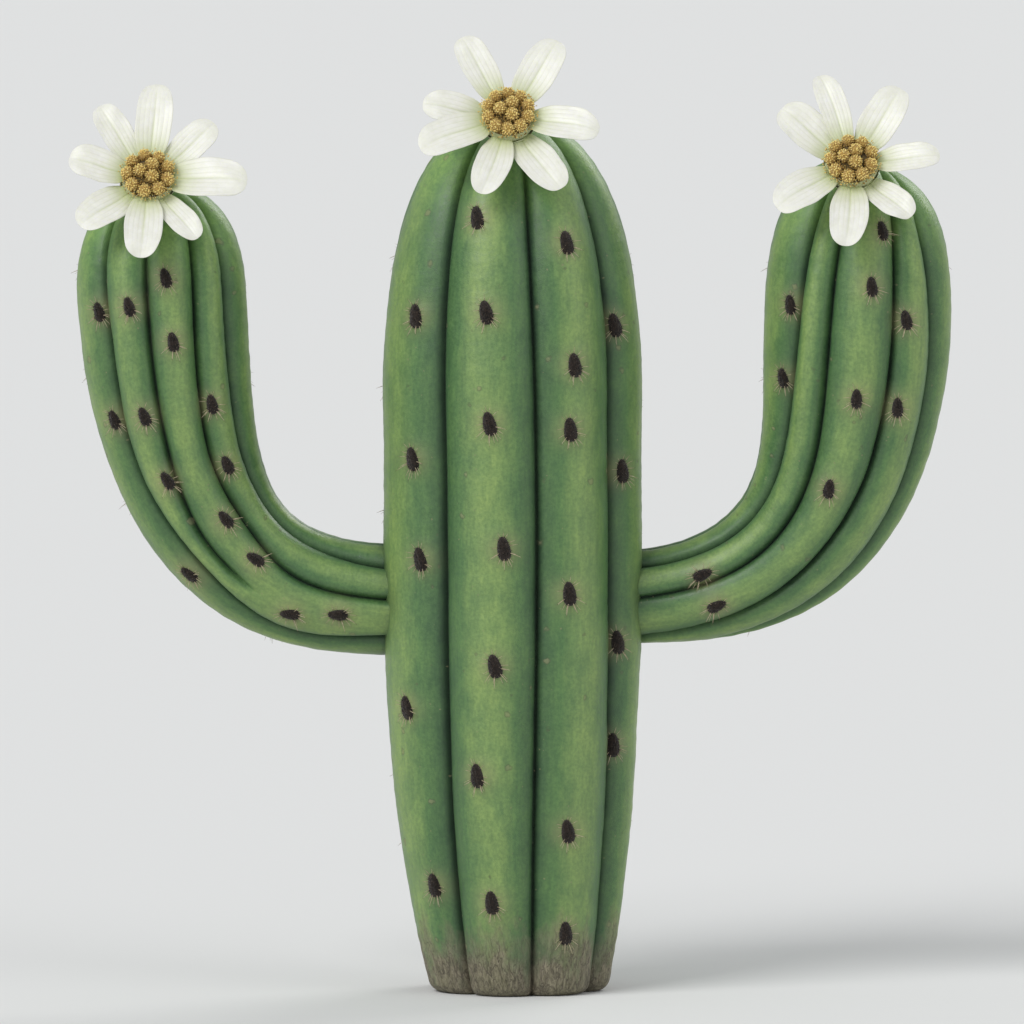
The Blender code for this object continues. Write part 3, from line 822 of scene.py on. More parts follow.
def rib_green_and_shade(tree, grown):
    """The living skin's colour with painted shade in the grooves, and its patch and fleck masks."""
    patches = use_group(tree, mottle, {"Place": grown, **PATCHES})
    streaks = use_group(tree, mottle, {"Place": grown, "Softness": STREAK_SOFTNESS, **STREAKS})
    flecks = use_group(tree, mottle, {"Place": grown, "Softness": FLECK_SOFTNESS, **FLECKS})
    patchy = minus(tree, patches["Mask"], 0.5)
    # Low on the rib the ramp darkens: deeper green, and painted shade at the groove's bottom.
    ribs = plus(tree, attribute(tree, "crest"), times(tree, patchy, PATCH_SHIFT))
    ribs = add_node(tree, "ShaderNodeValToRGB", {"Fac": ribs})
    ramp = ribs.color_ramp.elements
    ramp[0].color, ramp[1].color = GROOVE_GREEN_AND_SHADE, CREST_GREEN
    for share, shade in RIB_COLOURS_AND_SHADE[1:-1]:
        ramp.new(share).color = shade
    fresh = times(tree, attribute(tree, "tip"), FRESH_SHARE)
    colour = blend_colours(tree, fresh, ribs.outputs[0], FRESH_GREEN)
    for veil in (patches, streaks, flecks):
        colour = blend_colours(tree, 1, colour, veil["Colour"], "MULTIPLY")
    return colour, patchy, flecks["Mask"]


print("shades across a rib:", len(RIB_COLOURS_AND_SHADE))

# %% [markdown]
# ## Wear on the skin
#
# Then comes what time adds. Each kind of wear is a mask, and the mask drives a colour, a roughness
# and a height together, because a scar that is only painted looks like paint.
#
# Cork is found only near the ground, and its cracks are the costliest pattern here. The faces of the
# foot therefore have a material of their own: the same green, plus cork. Higher up the cork's mask is
# zero, so the two materials meet with no seam.

# %% Scars and cork
STRAW = (0.340, 0.320, 0.150, 1)
SCAR, SCAR_RIM = (0.270, 0.250, 0.140, 1), (0.075, 0.085, 0.040, 1)
CORK, OLD_CORK = (0.290, 0.245, 0.175, 1), (0.130, 0.103, 0.070, 1)
CRACK = (0.040, 0.030, 0.022, 1)
BIG_SCARS = {"Scale": 17, "Radius": 0.14, "Softness": 0.06, "Share": 0.32}
SMALL_SCARS = {"Scale": 55, "Radius": 0.16, "Softness": 0.08, "Share": 0.22}
FISSURES = {"Scale": 13, "Stretch": 4.5, "Width": 0.045}
BARK = {"Light": CORK, "Dark": OLD_CORK, "Scale": 22, "Stretch": 4}
HALO_SHARE, SCAR_SHARE, CORK_SHARE, CRACK_SHARE = 0.55, 0.5, 0.88, 0.75
SCAR_HEIGHT = 0.5  # of the skin's bump
CORK_CLIMB, CLIMB_FROM = 0.25, 0.6  # how much the crest adds to the cork, and from where on it does
CORK_PATCHES = 0.5  # how much the patches do
CORK_EDGE = (0.36, 0.92)  # where cork begins and where it is whole


def add_scars(tree, grown, colour):
    """The colour with scars and haloes on it, the scars' mask and their height."""
    halo = times(tree, attribute(tree, "halo"), HALO_SHARE)
    colour = blend_colours(tree, halo, colour, STRAW)
    big = use_group(tree, spots, {"Place": grown, **BIG_SCARS})
    small = use_group(tree, spots, {"Place": grown, **SMALL_SCARS})
    scars = maths(tree, "MAXIMUM", big["Mask"], small["Mask"])
    colour = blend_colours(tree, times(tree, big["Rim"], SCAR_SHARE), colour, SCAR_RIM)
    colour = blend_colours(tree, times(tree, scars, SCAR_SHARE), colour, SCAR)
    height = times(tree, minus(tree, big["Mask"], big["Rim"]), SCAR_HEIGHT)
    return colour, scars, height


def add_cork(tree, grown, colour, patchy):
    """The colour with cracked cork over it, the cork's mask and its cracks."""
    climb = times(tree, minus(tree, attribute(tree, "crest"), CLIMB_FROM), CORK_CLIMB)
    corky = plus(tree, attribute(tree, "age"), times(tree, patchy, CORK_PATCHES))
    corky = remap(tree, plus(tree, corky, climb), *CORK_EDGE)
    fissures = use_group(tree, cracks, {"Place": grown, **FISSURES})["Mask"]
    fissures = times(tree, fissures, corky)
    bark = use_group(tree, mottle, {"Place": grown, **BARK})["Colour"]
    colour = blend_colours(tree, times(tree, corky, CORK_SHARE), colour, bark)
    colour = blend_colours(tree, times(tree, fissures, CRACK_SHARE), colour, CRACK)
    return colour, corky, fissures


print("rules for scars and cork ready")

# %% [markdown]
# ## The skin, layer on layer
#
# The layers go over each other as they come on the plant: green, scars, and at the foot cork. The masks
# that colour them roughen and raise them too. Wax gives the skin a thin satin coat. The bottom of a
# groove is kept dull, because a shine there would draw a bright line down the dark.

# %% Skin materials
PORES = {"Scale": 300, "Pits": 0.6, "Stretch": 1.4}
FOLDS = {"Spacing": 0.021, "Wander": 0.10}
FOLD_HEIGHT = 0.16
FISSURE_DEPTH = 2.4
# how much painted shade darkens the skin where an arm meets the trunk
JOIN_SHADE_SHARE = 0.6
DULL_BELOW = 0.3  # share of the way up a rib
LEAST_ROUGHNESS = 0.39
DULL_ROUGHNESS, FLECK_ROUGHNESS, DRY_ROUGHNESS = 0.5, 0.16, 0.3  # what each adds to it


def skin_material(name, corked):
    material, tree, shader = new_material(name, Coat_Weight=0.12, Coat_Roughness=0.34)
    grown = add_node(tree, "ShaderNodeAttribute", attribute_name="grown").outputs["Vector"]
    colour, patchy, flecks = rib_green_and_shade(tree, grown)
    colour, scars, height = add_scars(tree, grown, colour)
    dry = scars
    pores = use_group(tree, grain, {"Place": grown, **PORES})
    folds = use_group(tree, ripples, {"Place": grown, **FOLDS})["Height"]
    folds = times(tree, folds, times(tree, attribute(tree, "crest"), FOLD_HEIGHT))
    height = plus(tree, height, plus(tree, pores["Height"], folds))
    if corked:
        colour, corky, fissures = add_cork(tree, grown, colour, patchy)
        dry = maths(tree, "MAXIMUM", scars, corky)
        height = minus(tree, height, times(tree, fissures, FISSURE_DEPTH))
    # Painted shade where an arm meets the trunk: the skin darkens towards the groove's colour.
    join_shade = times(tree, attribute(tree, "join"), JOIN_SHADE_SHARE)
    colour = blend_colours(tree, join_shade, colour, GROOVE_GREEN_AND_SHADE)
    deep = remap(tree, attribute(tree, "crest"), DULL_BELOW, 0, DULL_ROUGHNESS)
    rough = uneven(tree, flecks, plus(tree, deep, LEAST_ROUGHNESS), FLECK_ROUGHNESS)
    rough = plus(tree, rough, times(tree, dry, DRY_ROUGHNESS))
    finish_material(tree, shader, colour, rough, height, strength=0.5, distance=0.0012)
    return material


skin = skin_material("waxy skin", corked=False)
foot_skin = skin_material("corky skin", corked=True)
print("materials:", skin.name, foot_skin.name)

# %% [markdown]
# ## Trunk and arms
#
# Each skin is a grid: rings up the limb, and points round each ring that lie close together in the
# grooves, where the form turns quickly, and further apart over the crests. Every arm is one skin
# from inside the trunk to its tip, because the real plant has no seam at the bend, and so it stands
# for both solids of that arm.

# %% Ribbed skins
ROW_SPACING = 0.009
DOME_ROWS = 110
TIP_TURN = 89.2  # degrees of the dome's turn at which its last ring lies
GROOVE_STEPS = (0, 0.009, 0.022, 0.042, 0.07, 0.108, 0.16, 0.225, 0.30, 0.385)
RIB_STEPS = np.array([*GROOVE_STEPS, 0.47, *(1 - step for step in GROOVE_STEPS[:0:-1])])
FOOT_ROWS = (0, 0.002, 0.005, 0.009, 0.014, 0.020)  # heights of the rings in its rounding
ARM_START = -0.09  # an arm's skin begins this far inside the trunk
TIP_REACH = 0.30  # from the tip down, over which the green is fresh
HALO_REACH = 0.040
# the distance over which the painted shade at a join fades out
JOIN_SHADE_REACH = 0.022
JOIN_SEARCH = (-0.05, 0.1, 31)  # stretch of an arm's root where the join is looked for, in steps
JOIN_DEPTH = 0.02  # the join with an arm lies this deep in the trunk's hull, between its ribs
PATTERN_SHIFT = 7  # limb lengths by which its pattern is moved, so that no two limbs have one


def dome_rows(base, length):
    turns = np.radians(np.linspace(0, TIP_TURN, DOME_ROWS))
    return base + length * np.sin(turns) ** (2 / DOME_POWER)


def skin_limb(limb, rows, replaced, near_join):
    """A closed skin with rings at these rows. near_join says how near points are to another limb."""
    bearings, _ = limb.grooves(rows)
    spans = bearings[1:] - bearings[:-1]
    ring = bearings[:-1, None, :] + spans[:, None, :] * RIB_STEPS[None, :, None]
    ring = ring.reshape(-1, len(rows)).T
    columns = ring.shape[1]
    along = np.repeat(rows, columns)
    points, crest = limb.skin(along, ring.ravel())
    ends = limb.frame_at(np.array([rows[0], limb.length]))[0]
    points = np.concatenate([points, ends])
    faces = grid_faces(len(rows), columns).tolist()
    last = (len(rows) - 1) * columns
    around = np.arange(columns)
    after = (around + 1) % columns
    for first, second, end in ((after, around, 2), (last + around, last + after, 1)):
        faces += np.stack([first, second, np.full(columns, len(points) - end)], axis=1).tolist()
    if limb.side < 0:
        faces = [face[::-1] for face in faces]
    angle, radius = np.radians(ring.ravel()), limb.radius(along)
    shifted = along + PATTERN_SHIFT * limb.length
    grown = np.stack([radius * np.cos(angle), radius * np.sin(angle), shifted], axis=1)
    values = {
        "grown": np.concatenate([grown, [(0, 0, shifted[0]), (0, 0, shifted[-1])]]),
        "crest": [*crest, 0, 1],
        "halo": [*limb.nearness(along, ring.ravel(), HALO_REACH), 0, 0],
        "tip": [*smoothstep((along - limb.length + TIP_REACH) / TIP_REACH), 0, 1],
        "age": 1 - smoothstep(points[:, 2] / CORK_HEIGHT),
        # join is how near the other limb is, which the skin shows as painted shade
        "join": near_join(points),
    }
    lowest = points[[face[0] for face in faces], 2]
    shades, low = [skin, foot_skin], lowest < CORK_HEIGHT
    piece = dress(limb.name + "_skin", points, faces, shades, replaced, values, low)
    print(piece.name, "quads:", len(faces))
    return piece


def near_arms(points):
    """How near points of the trunk are to an arm's skin."""
    found = np.zeros(len(points))
    for arm in arms:
        along = np.linspace(*JOIN_SEARCH)
        centre, _ = arm.frame_at(along)
        apart = np.linalg.norm(points[:, None, :] - centre[None], axis=2) - arm.radius(along)[None]
        found = np.maximum(found, np.exp(-np.maximum(apart.min(axis=1), 0) / JOIN_SHADE_REACH))
    return found


def near_trunk(points):
    """How near points of an arm are to the trunk's skin."""
    height = np.clip(points[:, 2], 0, TRUNK_DOME_BASE)
    apart = np.hypot(points[:, 0] + LEAN, points[:, 1]) - trunk_radius(height)
    return np.exp(-np.maximum(apart + JOIN_DEPTH, 0) / JOIN_SHADE_REACH)


wall_rows = np.arange(FOOT_ROUNDING, TRUNK_DOME_BASE, ROW_SPACING)
trunk_rows = np.concatenate(
    [FOOT_ROWS, wall_rows, dome_rows(TRUNK_DOME_BASE, TRUNK_HEIGHT - TRUNK_DOME_BASE)]
)
skin_limb(trunk, trunk_rows, ["trunk"], near_arms)
for arm, shape in zip(arms, (LEFT_ARM, RIGHT_ARM)):
    base = arm.length - shape.dome
    arm_rows = np.concatenate([np.arange(ARM_START, base, ROW_SPACING), dome_rows(base, shape.dome)])
    skin_limb(arm, arm_rows, [arm.name + "_lower", arm.name + "_upper"], near_trunk)

# %% [markdown]
# ## Felt and horn
#
# Two finishes dress all the small growths. Felt is matted hair, rough all over, with a faint sheen
# where hairs catch the light. Horn, which hairs and spines are made of, is harder and smoother, with
# faint rings of growth. Each is a function of two shades, since brown felt and pale wool, or a spine's
# shaft and its tip, differ in little else.

# %% Felt and horn materials
HAIRS_PER_TUFT = 6  # across a tuft of felt
HAIR_ROUGHNESS = 0.7


def felt_material(name, light, dark, scale):
    """Matted hairs: soft-edged tufts of two shades, rough all over."""
    material, tree, shader = new_material(
        name, Sheen_Weight=0.2, Sheen_Roughness=0.5, Specular_IOR_Level=0.15
    )
    here = own_place(tree)
    tufts = {"Place": here, "Light": light, "Dark": dark, "Scale": scale, "Softness": 0.15}
    tufts = use_group(tree, mottle, tufts)
    rough = uneven(tree, tufts["Mask"], least=0.85, spread=0.1)
    hairs = {"Place": here, "Scale": scale * HAIRS_PER_TUFT, "Pits": 0.8}
    height = use_group(tree, grain, hairs)["Height"]
    finish_material(tree, shader, tufts["Colour"], rough, height, strength=0.8, distance=0.002)
    return material


def horn_material(name, light, dark, roughness):
    """Hard and a little glossy, with faint rings of growth."""
    material, tree, shader = new_material(name)
    here = own_place(tree)
    tone = {"Place": here, "Light": light, "Dark": dark, "Scale": 220, "Softness": 0.18}
    tone = use_group(tree, mottle, tone)
    rings = use_group(tree, ripples, {"Place": here, "Spacing": 0.0022, "Wander": 0.001})["Height"]
    rough = uneven(tree, tone["Mask"], least=roughness, spread=0.15)
    finish_material(tree, shader, tone["Colour"], rough, rings, strength=0.25, distance=0.0003)
    return material


felt = felt_material("areole felt", (0.040, 0.027, 0.020, 1), (0.008, 0.006, 0.005, 1), 160)
felt_hair = horn_material(
    "felt hair", (0.060, 0.042, 0.030, 1), (0.016, 0.011, 0.009, 1), HAIR_ROUGHNESS
)
grey_hair = horn_material(
    "weathered hair", (0.24, 0.20, 0.15, 1), (0.12, 0.095, 0.07, 1), HAIR_ROUGHNESS
)
spine_shaft = horn_material("spine shaft", (0.52, 0.45, 0.31, 1), (0.33, 0.26, 0.16, 1), 0.38)
spine_tip = horn_material("spine tip", (0.16, 0.085, 0.045, 1), (0.07, 0.035, 0.020, 1), 0.35)
print("materials:", felt.name, felt_hair.name, grey_hair.name, spine_shaft.name, spine_tip.name)

# %% [markdown]
# ## Areoles
#
# An areole is a short shoot pressed flat against the rib: a cushion of brown-black felt, drawn out to
# a blunt point at its upper end, out of which the spines grow. A dark ellipse painted on the skin
# would vanish at the edge of the form, so each cushion is a small lumpy dome with hairs of its own,
# sunk a little in the skin and turned to the way its rib faces.

# %% Cushion rule
AREOLE_LENGTHS = {"trunk": 0.069, "arm_left": 0.057, "arm_right": 0.057}
AREOLE_WIDTH = 0.54  # of the length
AREOLE_TAPER = 0.24
CUSHION_BLUNTNESS = 0.86  # 1 is an ellipse, less is blunter
AREOLE_TILT, TILT_SPREAD = 10, 5  # degrees
CUSHION_HEIGHT = 0.0105
CUSHION_SINK = 0.003
CUSHION_LUMP = 0.0012
LUMP_WAVES = ((410, 530, 610), (-380, 290, 470))  # radians a metre
CUSHION_RINGS, CUSHION_SIDES = 9, 24
INNERMOST_RING = 0.06  # radians of its turn at which its first ring lies


def cushion_point(share, angle, length):
    """A place on a cushion, from its middle (share 0) to its edge (1), in its own frame."""
    across, up = np.cos(angle), np.sin(angle)
    y = share * np.sign(up) * np.abs(up) ** CUSHION_BLUNTNESS
    x = share * np.sign(across) * np.abs(across) ** CUSHION_BLUNTNESS
    x = x * (1 - AREOLE_TAPER * y) * AREOLE_WIDTH
    z = (CUSHION_HEIGHT + CUSHION_SINK) * np.sqrt(np.clip(1 - share**2, 0, 1)) - CUSHION_SINK
    return np.stack([x * length / 2, y * length / 2, z], axis=-1)


def areole_frames(limb):
    """Origin and axes (across, up, outward) of each areole, each a little different from the rest."""
    along, bearing = limb.areoles.T
    origin, _ = limb.skin(along, bearing)
    across, up, outward = limb.facing(along, bearing)
    tilt = np.radians(AREOLE_TILT + rng.uniform(-TILT_SPREAD, TILT_SPREAD, len(along)))[:, None]
    across, up = np.cos(tilt) * across + np.sin(tilt) * up, np.cos(tilt) * up - np.sin(tilt) * across
    return origin, np.stack([across, up, outward], axis=1)


def to_place(local, origin, axes):
    """Points in each areole's own frame, as points in the plant's."""
    return origin[:, None, :] + np.einsum("nkc,ncd->nkd", local, axes)


AREOLES = {limb.name: areole_frames(limb) for limb in LIMBS}
print("areoles:", sum(len(origin) for origin, _ in AREOLES.values()))

# %% [markdown]
# ## Cushions
#
# All the cushions of one limb are one mesh, which is quick to load and easy to pick. The rule's grid of
# points is worked out once and placed in each areole's frame. The lumps are added last, from each
# point's final place, so no two cushions are lumpy alike.

# %% Cushions
def make_cushions(limb):
    origin, axes = AREOLES[limb.name]
    share, angle = np.meshgrid(
        np.sin(np.linspace(INNERMOST_RING, np.pi / 2, CUSHION_RINGS)),
        np.linspace(0, 2 * np.pi, CUSHION_SIDES, endpoint=False),
        indexing="ij",
    )
    local = cushion_point(share.ravel(), angle.ravel(), AREOLE_LENGTHS[limb.name])
    points = to_place(np.repeat(local[None], len(origin), axis=0), origin, axes)
    lumps = np.sin(points @ np.array(LUMP_WAVES).T).prod(axis=-1)
    points += axes[:, 2][:, None, :] * CUSHION_LUMP * lumps[..., None]
    faces = grid_faces(CUSHION_RINGS, CUSHION_SIDES)[:, ::-1].tolist()
    count = CUSHION_RINGS * CUSHION_SIDES
    faces.append(list(range(CUSHION_SIDES)))
    faces.append(list(range(count - CUSHION_SIDES, count))[::-1])
    faces = copied_faces(faces, count, len(origin))
    name = limb.name + "_areole_cushions"
    piece = dress(name, points.reshape(-1, 3), faces, [felt])
    print(piece.name, "faces:", len(faces))


for limb in LIMBS:
    make_cushions(limb)

# %% [markdown]
# ## Needles
#
# Hairs and spines are the same form at two sizes: a thin, slightly curved, tapering needle. One
# function makes any number of them from arrays of feet, directions and lengths. On each cushion the
# hairs stand up all over. Most of the spines lie out round its edge like the rays of a star, and a
# few longer ones point down and out from its lower side. They keep close to the skin, as on an old
# plant.

# %% Needle rule
DOWN = np.array((0.0, 0.0, -1.0))
STEEP = 0.8  # the rise of a unit way, beyond which its sides are found from X and not from Z
NEEDLE_TAPER = 0.7  # 1 is a cone, less is stouter
NEEDLE_TIP = 0.00008  # radius


def sideways(ways):
    """A unit way at right angles to each of these."""
    spare = np.where(np.abs(ways[:, 2:]) < STEEP, -DOWN, np.array((1.0, 0, 0)))
    return unit(np.cross(ways, spare))


def needles(feet, ways, lengths, widths, sides, stages, bend=0.0):
    """Closed tapering needles as points and faces, and the stage of its length at each face."""
    ways = unit(ways)
    right = sideways(ways)
    over = np.cross(right, ways)
    stage = np.array(stages)
    run = lengths[:, None, None] * stage[None, :, None]
    centre = feet[:, None] + run * ways[:, None] + DOWN * (bend * run * stage[None, :, None])
    turn = np.linspace(0, 2 * np.pi, sides, endpoint=False)
    rim = np.cos(turn)[None, :, None] * right[:, None] + np.sin(turn)[None, :, None] * over[:, None]
    radius = widths[:, None] / 2 * (1 - stage[None]) ** NEEDLE_TAPER + NEEDLE_TIP
    points = centre[:, :, None] + radius[:, :, None, None] * rim[:, None]
    count = len(stage) * sides
    one = grid_faces(len(stage), sides).tolist()
    one += [list(range(sides))[::-1], list(range(count - sides, count))]
    face_stage = [*np.repeat(stage[:-1], sides), stage[0], 1.0]
    faces = copied_faces(one, count, len(feet))
    return points.reshape(-1, 3), faces, np.tile(face_stage, len(feet))


print("needle rule ready")

# %% [markdown]
# ## Felt hairs
#
# A bump map can't fray an outline, and along the edge of a limb the cushions are seen from the side. So
# real hairs stand on each one, upright in the middle and leaning out at its rim. Blender's hair would
# be quicker to comb, but it isn't mesh, and this plant has to be usable anywhere. About one hair in
# eight is weathered grey.

# %% Felt hairs
HAIRS_PER_AREOLE = 86
HAIR_LENGTHS = (0.0035, 0.0075)
HAIR_WIDTH = 0.0010
HAIR_SIDES = 3
HAIR_STAGES = (0, 0.55, 1)
HAIR_SPREAD = 0.98  # of the cushion
HAIR_RISE, HAIR_SPLAY = 1.1, 0.75  # how upright the middle ones stand, and how much less the outer ones
HAIR_TOUSLE = 0.28
GREY_HAIRS = 0.12  # share of the hairs


def make_hairs(limb):
    origin, axes = AREOLES[limb.name]
    size = (len(origin), HAIRS_PER_AREOLE)
    share, angle = np.sqrt(rng.uniform(0, 1, size)), rng.uniform(0, 2 * np.pi, size)
    local = cushion_point(share * HAIR_SPREAD, angle, AREOLE_LENGTHS[limb.name])
    feet = to_place(local, origin, axes).reshape(-1, 3)
    rise = HAIR_RISE - HAIR_SPLAY * share
    lean = np.stack([share * np.cos(angle), share * np.sin(angle), rise], axis=-1)
    lean += rng.normal(0, HAIR_TOUSLE, lean.shape)
    ways = np.einsum("nkc,ncd->nkd", lean, axes).reshape(-1, 3)
    lengths = rng.uniform(*HAIR_LENGTHS, len(feet))
    widths = np.full(len(feet), HAIR_WIDTH)
    points, faces, _ = needles(feet, ways, lengths, widths, HAIR_SIDES, HAIR_STAGES)
    grey = np.repeat(rng.uniform(size=len(feet)) < GREY_HAIRS, len(faces) // len(feet))
    piece = dress(
        limb.name + "_felt_hairs", points, faces, [felt_hair, grey_hair],
        material_index=grey,
    )
    print(piece.name, "hairs:", len(feet))


for limb in LIMBS:
    make_hairs(limb)

# %% [markdown]
# ## Spines
#
# An areole has a ring of short radial spines and a few stronger central ones, straw-coloured with a
# dark tip. The tip isn't a second piece: faces that begin beyond a certain stage of the needle take
# the second material, so the colour changes as sharply as on the plant.

# %% Spines
RAYS = 13
RAY_LENGTHS = (0.016, 0.029)
RAY_RISE = (10, 26)  # degrees off the skin
RAY_SPREAD = 0.17  # radians to either side
CENTRALS = 4
CENTRAL_LENGTHS = (0.026, 0.038)
CENTRAL_RISE = (16, 27)
CENTRAL_FAN, CENTRAL_SPREAD = 62, 12  # degrees to either side of straight down
RAY_FOOT, CENTRAL_FOOT = 0.96, 0.84  # of the way out to the cushion's edge
RAY_WIDTH, CENTRAL_WIDTH = 0.0017, 0.0024
SPINE_BEND = 0.10
SPINE_SIDES = 4
SPINE_STAGES = (0, 0.35, 0.7, 0.82, 0.83, 1)
DARK_FROM = 0.82  # faces that begin beyond this stage of a spine's length are dark
DEPTH_ROOM = 0.013  # how far a spine may stand out past the solids, in front and behind


def way_of(angle, rise):
    """Unit ways by their angle round the local Z and their rise from its plane, in radians."""
    flat = np.cos(rise)
    return np.stack([np.cos(angle) * flat, np.sin(angle) * flat, np.sin(rise)], axis=-1)


def make_spines(limb):
    origin, axes = AREOLES[limb.name]
    cushion = AREOLE_LENGTHS[limb.name]
    rays, centrals = (len(origin), RAYS), (len(origin), CENTRALS)
    angle = np.linspace(0, 2 * np.pi, RAYS, endpoint=False)
    angle = angle + rng.uniform(-RAY_SPREAD, RAY_SPREAD, rays)
    rise = np.radians(rng.uniform(*RAY_RISE, rays))
    feet = [cushion_point(np.full(rays, RAY_FOOT), angle, cushion)]
    ways = [way_of(angle, rise)]
    fan = np.linspace(-CENTRAL_FAN, CENTRAL_FAN, CENTRALS)
    angle = np.radians(-90 + fan + rng.uniform(-CENTRAL_SPREAD, CENTRAL_SPREAD, centrals))
    rise = np.radians(rng.uniform(*CENTRAL_RISE, centrals))
    feet.append(cushion_point(np.full(centrals, CENTRAL_FOOT), angle, cushion))
    ways.append(way_of(angle, rise))
    lengths = [rng.uniform(*RAY_LENGTHS, rays), rng.uniform(*CENTRAL_LENGTHS, centrals)]
    widths = [np.full(rays, RAY_WIDTH), np.full(centrals, CENTRAL_WIDTH)]
    feet, ways, lengths, widths = (
        np.concatenate(both, axis=1) for both in (feet, ways, lengths, widths)
    )
    feet = to_place(feet, origin, axes).reshape(-1, 3)
    ways = np.einsum("nkc,ncd->nkd", ways, axes).reshape(-1, 3)
    steepest = (cad_box[1].y + DEPTH_ROOM - np.abs(feet[:, 1])) / lengths.ravel()
    ways[:, 1] = np.clip(ways[:, 1], -steepest, steepest)
    points, faces, stage = needles(
        feet, ways, lengths.ravel(), widths.ravel(), SPINE_SIDES, SPINE_STAGES, SPINE_BEND
    )
    piece = dress(
        limb.name + "_spines", points, faces, [spine_shaft, spine_tip],
        material_index=stage > DARK_FROM,
    )
    print(piece.name, "spines:", lengths.size)


for limb in LIMBS:
    make_spines(limb)

# %% [markdown]
# ## Woolly crowns
#
# A limb grows at its very tip, where the ribs meet. The growing point sits under a pad of pale wool
# that new areoles push outwards, each already holding a tuft of young amber spines. The pad could be
# laid on the ribbed skin, but then the grooves would notch it like a pastry. It follows the limb's
# round hull instead, and its rim runs down into the grooves and fills their ends as wool does.

# %% Crowns
CROWN_RADIUS = {"trunk": 0.056, "arm_left": 0.042, "arm_right": 0.042}
CROWN_HEIGHT = 0.012
CROWN_SKIRT = 0.014  # how far its rim runs down into the grooves
CROWN_SINK = 0.001
CROWN_BAYS = (0.06, 0.05)  # how uneven its edge is, in three waves and in seven
CROWN_LUMP = 0.22  # of its height
CROWN_SEARCH = (1e-7, 0.2, 400)  # distances from the tip down, closer together near it
CROWN_RINGS, CROWN_SIDES = 12, 48
CROWN_INNERMOST_RING = 0.04
CROWN_HAIRS = 640
CROWN_HAIR_LENGTHS = (0.006, 0.013)
CROWN_HAIR_WIDTH = 0.0011
CROWN_HAIR_STAGES = (0, 0.5, 1)
CROWN_HAIR_BEND = 0.2
OUTWARD_CROWDING = 0.4  # 0.5 spreads hairs evenly over a disc, less crowds them near its edge
CROWN_TUFTS = 10
TUFT_PLACES = (0.60, 0.86)  # of the way out to the edge
TUFT_STRAY, TUFT_SPREAD = 12, 5  # degrees round the crown, of a tuft and of its spines
TUFT_SPINES = 8
YOUNG_SPINE_LENGTHS = (0.012, 0.022)
YOUNG_SPINE_WIDTH = 0.0015
CROWN_HAIR_RISE, YOUNG_SPINE_RISE = 0.7, 0.9  # the higher, the more upright
CROWN_TOUSLE = 0.35

wool = felt_material("crown wool", (0.66, 0.56, 0.37, 1), (0.38, 0.29, 0.16, 1), 120)
wool_hair = horn_material("crown hair", (0.80, 0.72, 0.54, 1), (0.56, 0.46, 0.30, 1), HAIR_ROUGHNESS)
young_spine = horn_material("young spine", (0.50, 0.30, 0.10, 1), (0.30, 0.15, 0.05, 1), 0.35)


def crown_point(limb, share, bearing):
    """Places on a crown's wool, from its middle (share 0) to its edge (1)."""
    back_from_tip = np.geomspace(*CROWN_SEARCH)
    radii = limb.radius(limb.length - back_from_tip)
    angle = np.radians(bearing)
    bays = 1 + CROWN_BAYS[0] * np.sin(3 * angle + limb.length) + CROWN_BAYS[1] * np.sin(7 * angle)
    out = share * CROWN_RADIUS[limb.name] * bays
    back = np.interp(out, radii, back_from_tip)
    centre, axis, way = limb.way_out(limb.length - back, bearing)
    lumps = 1 + CROWN_LUMP * np.sin(5 * angle + 9 * share) * share
    lift = CROWN_HEIGHT * np.sqrt(np.clip(1 - share**2, 0, 1)) * lumps - CROWN_SINK
    return centre + out[:, None] * way + lift[:, None] * axis, axis


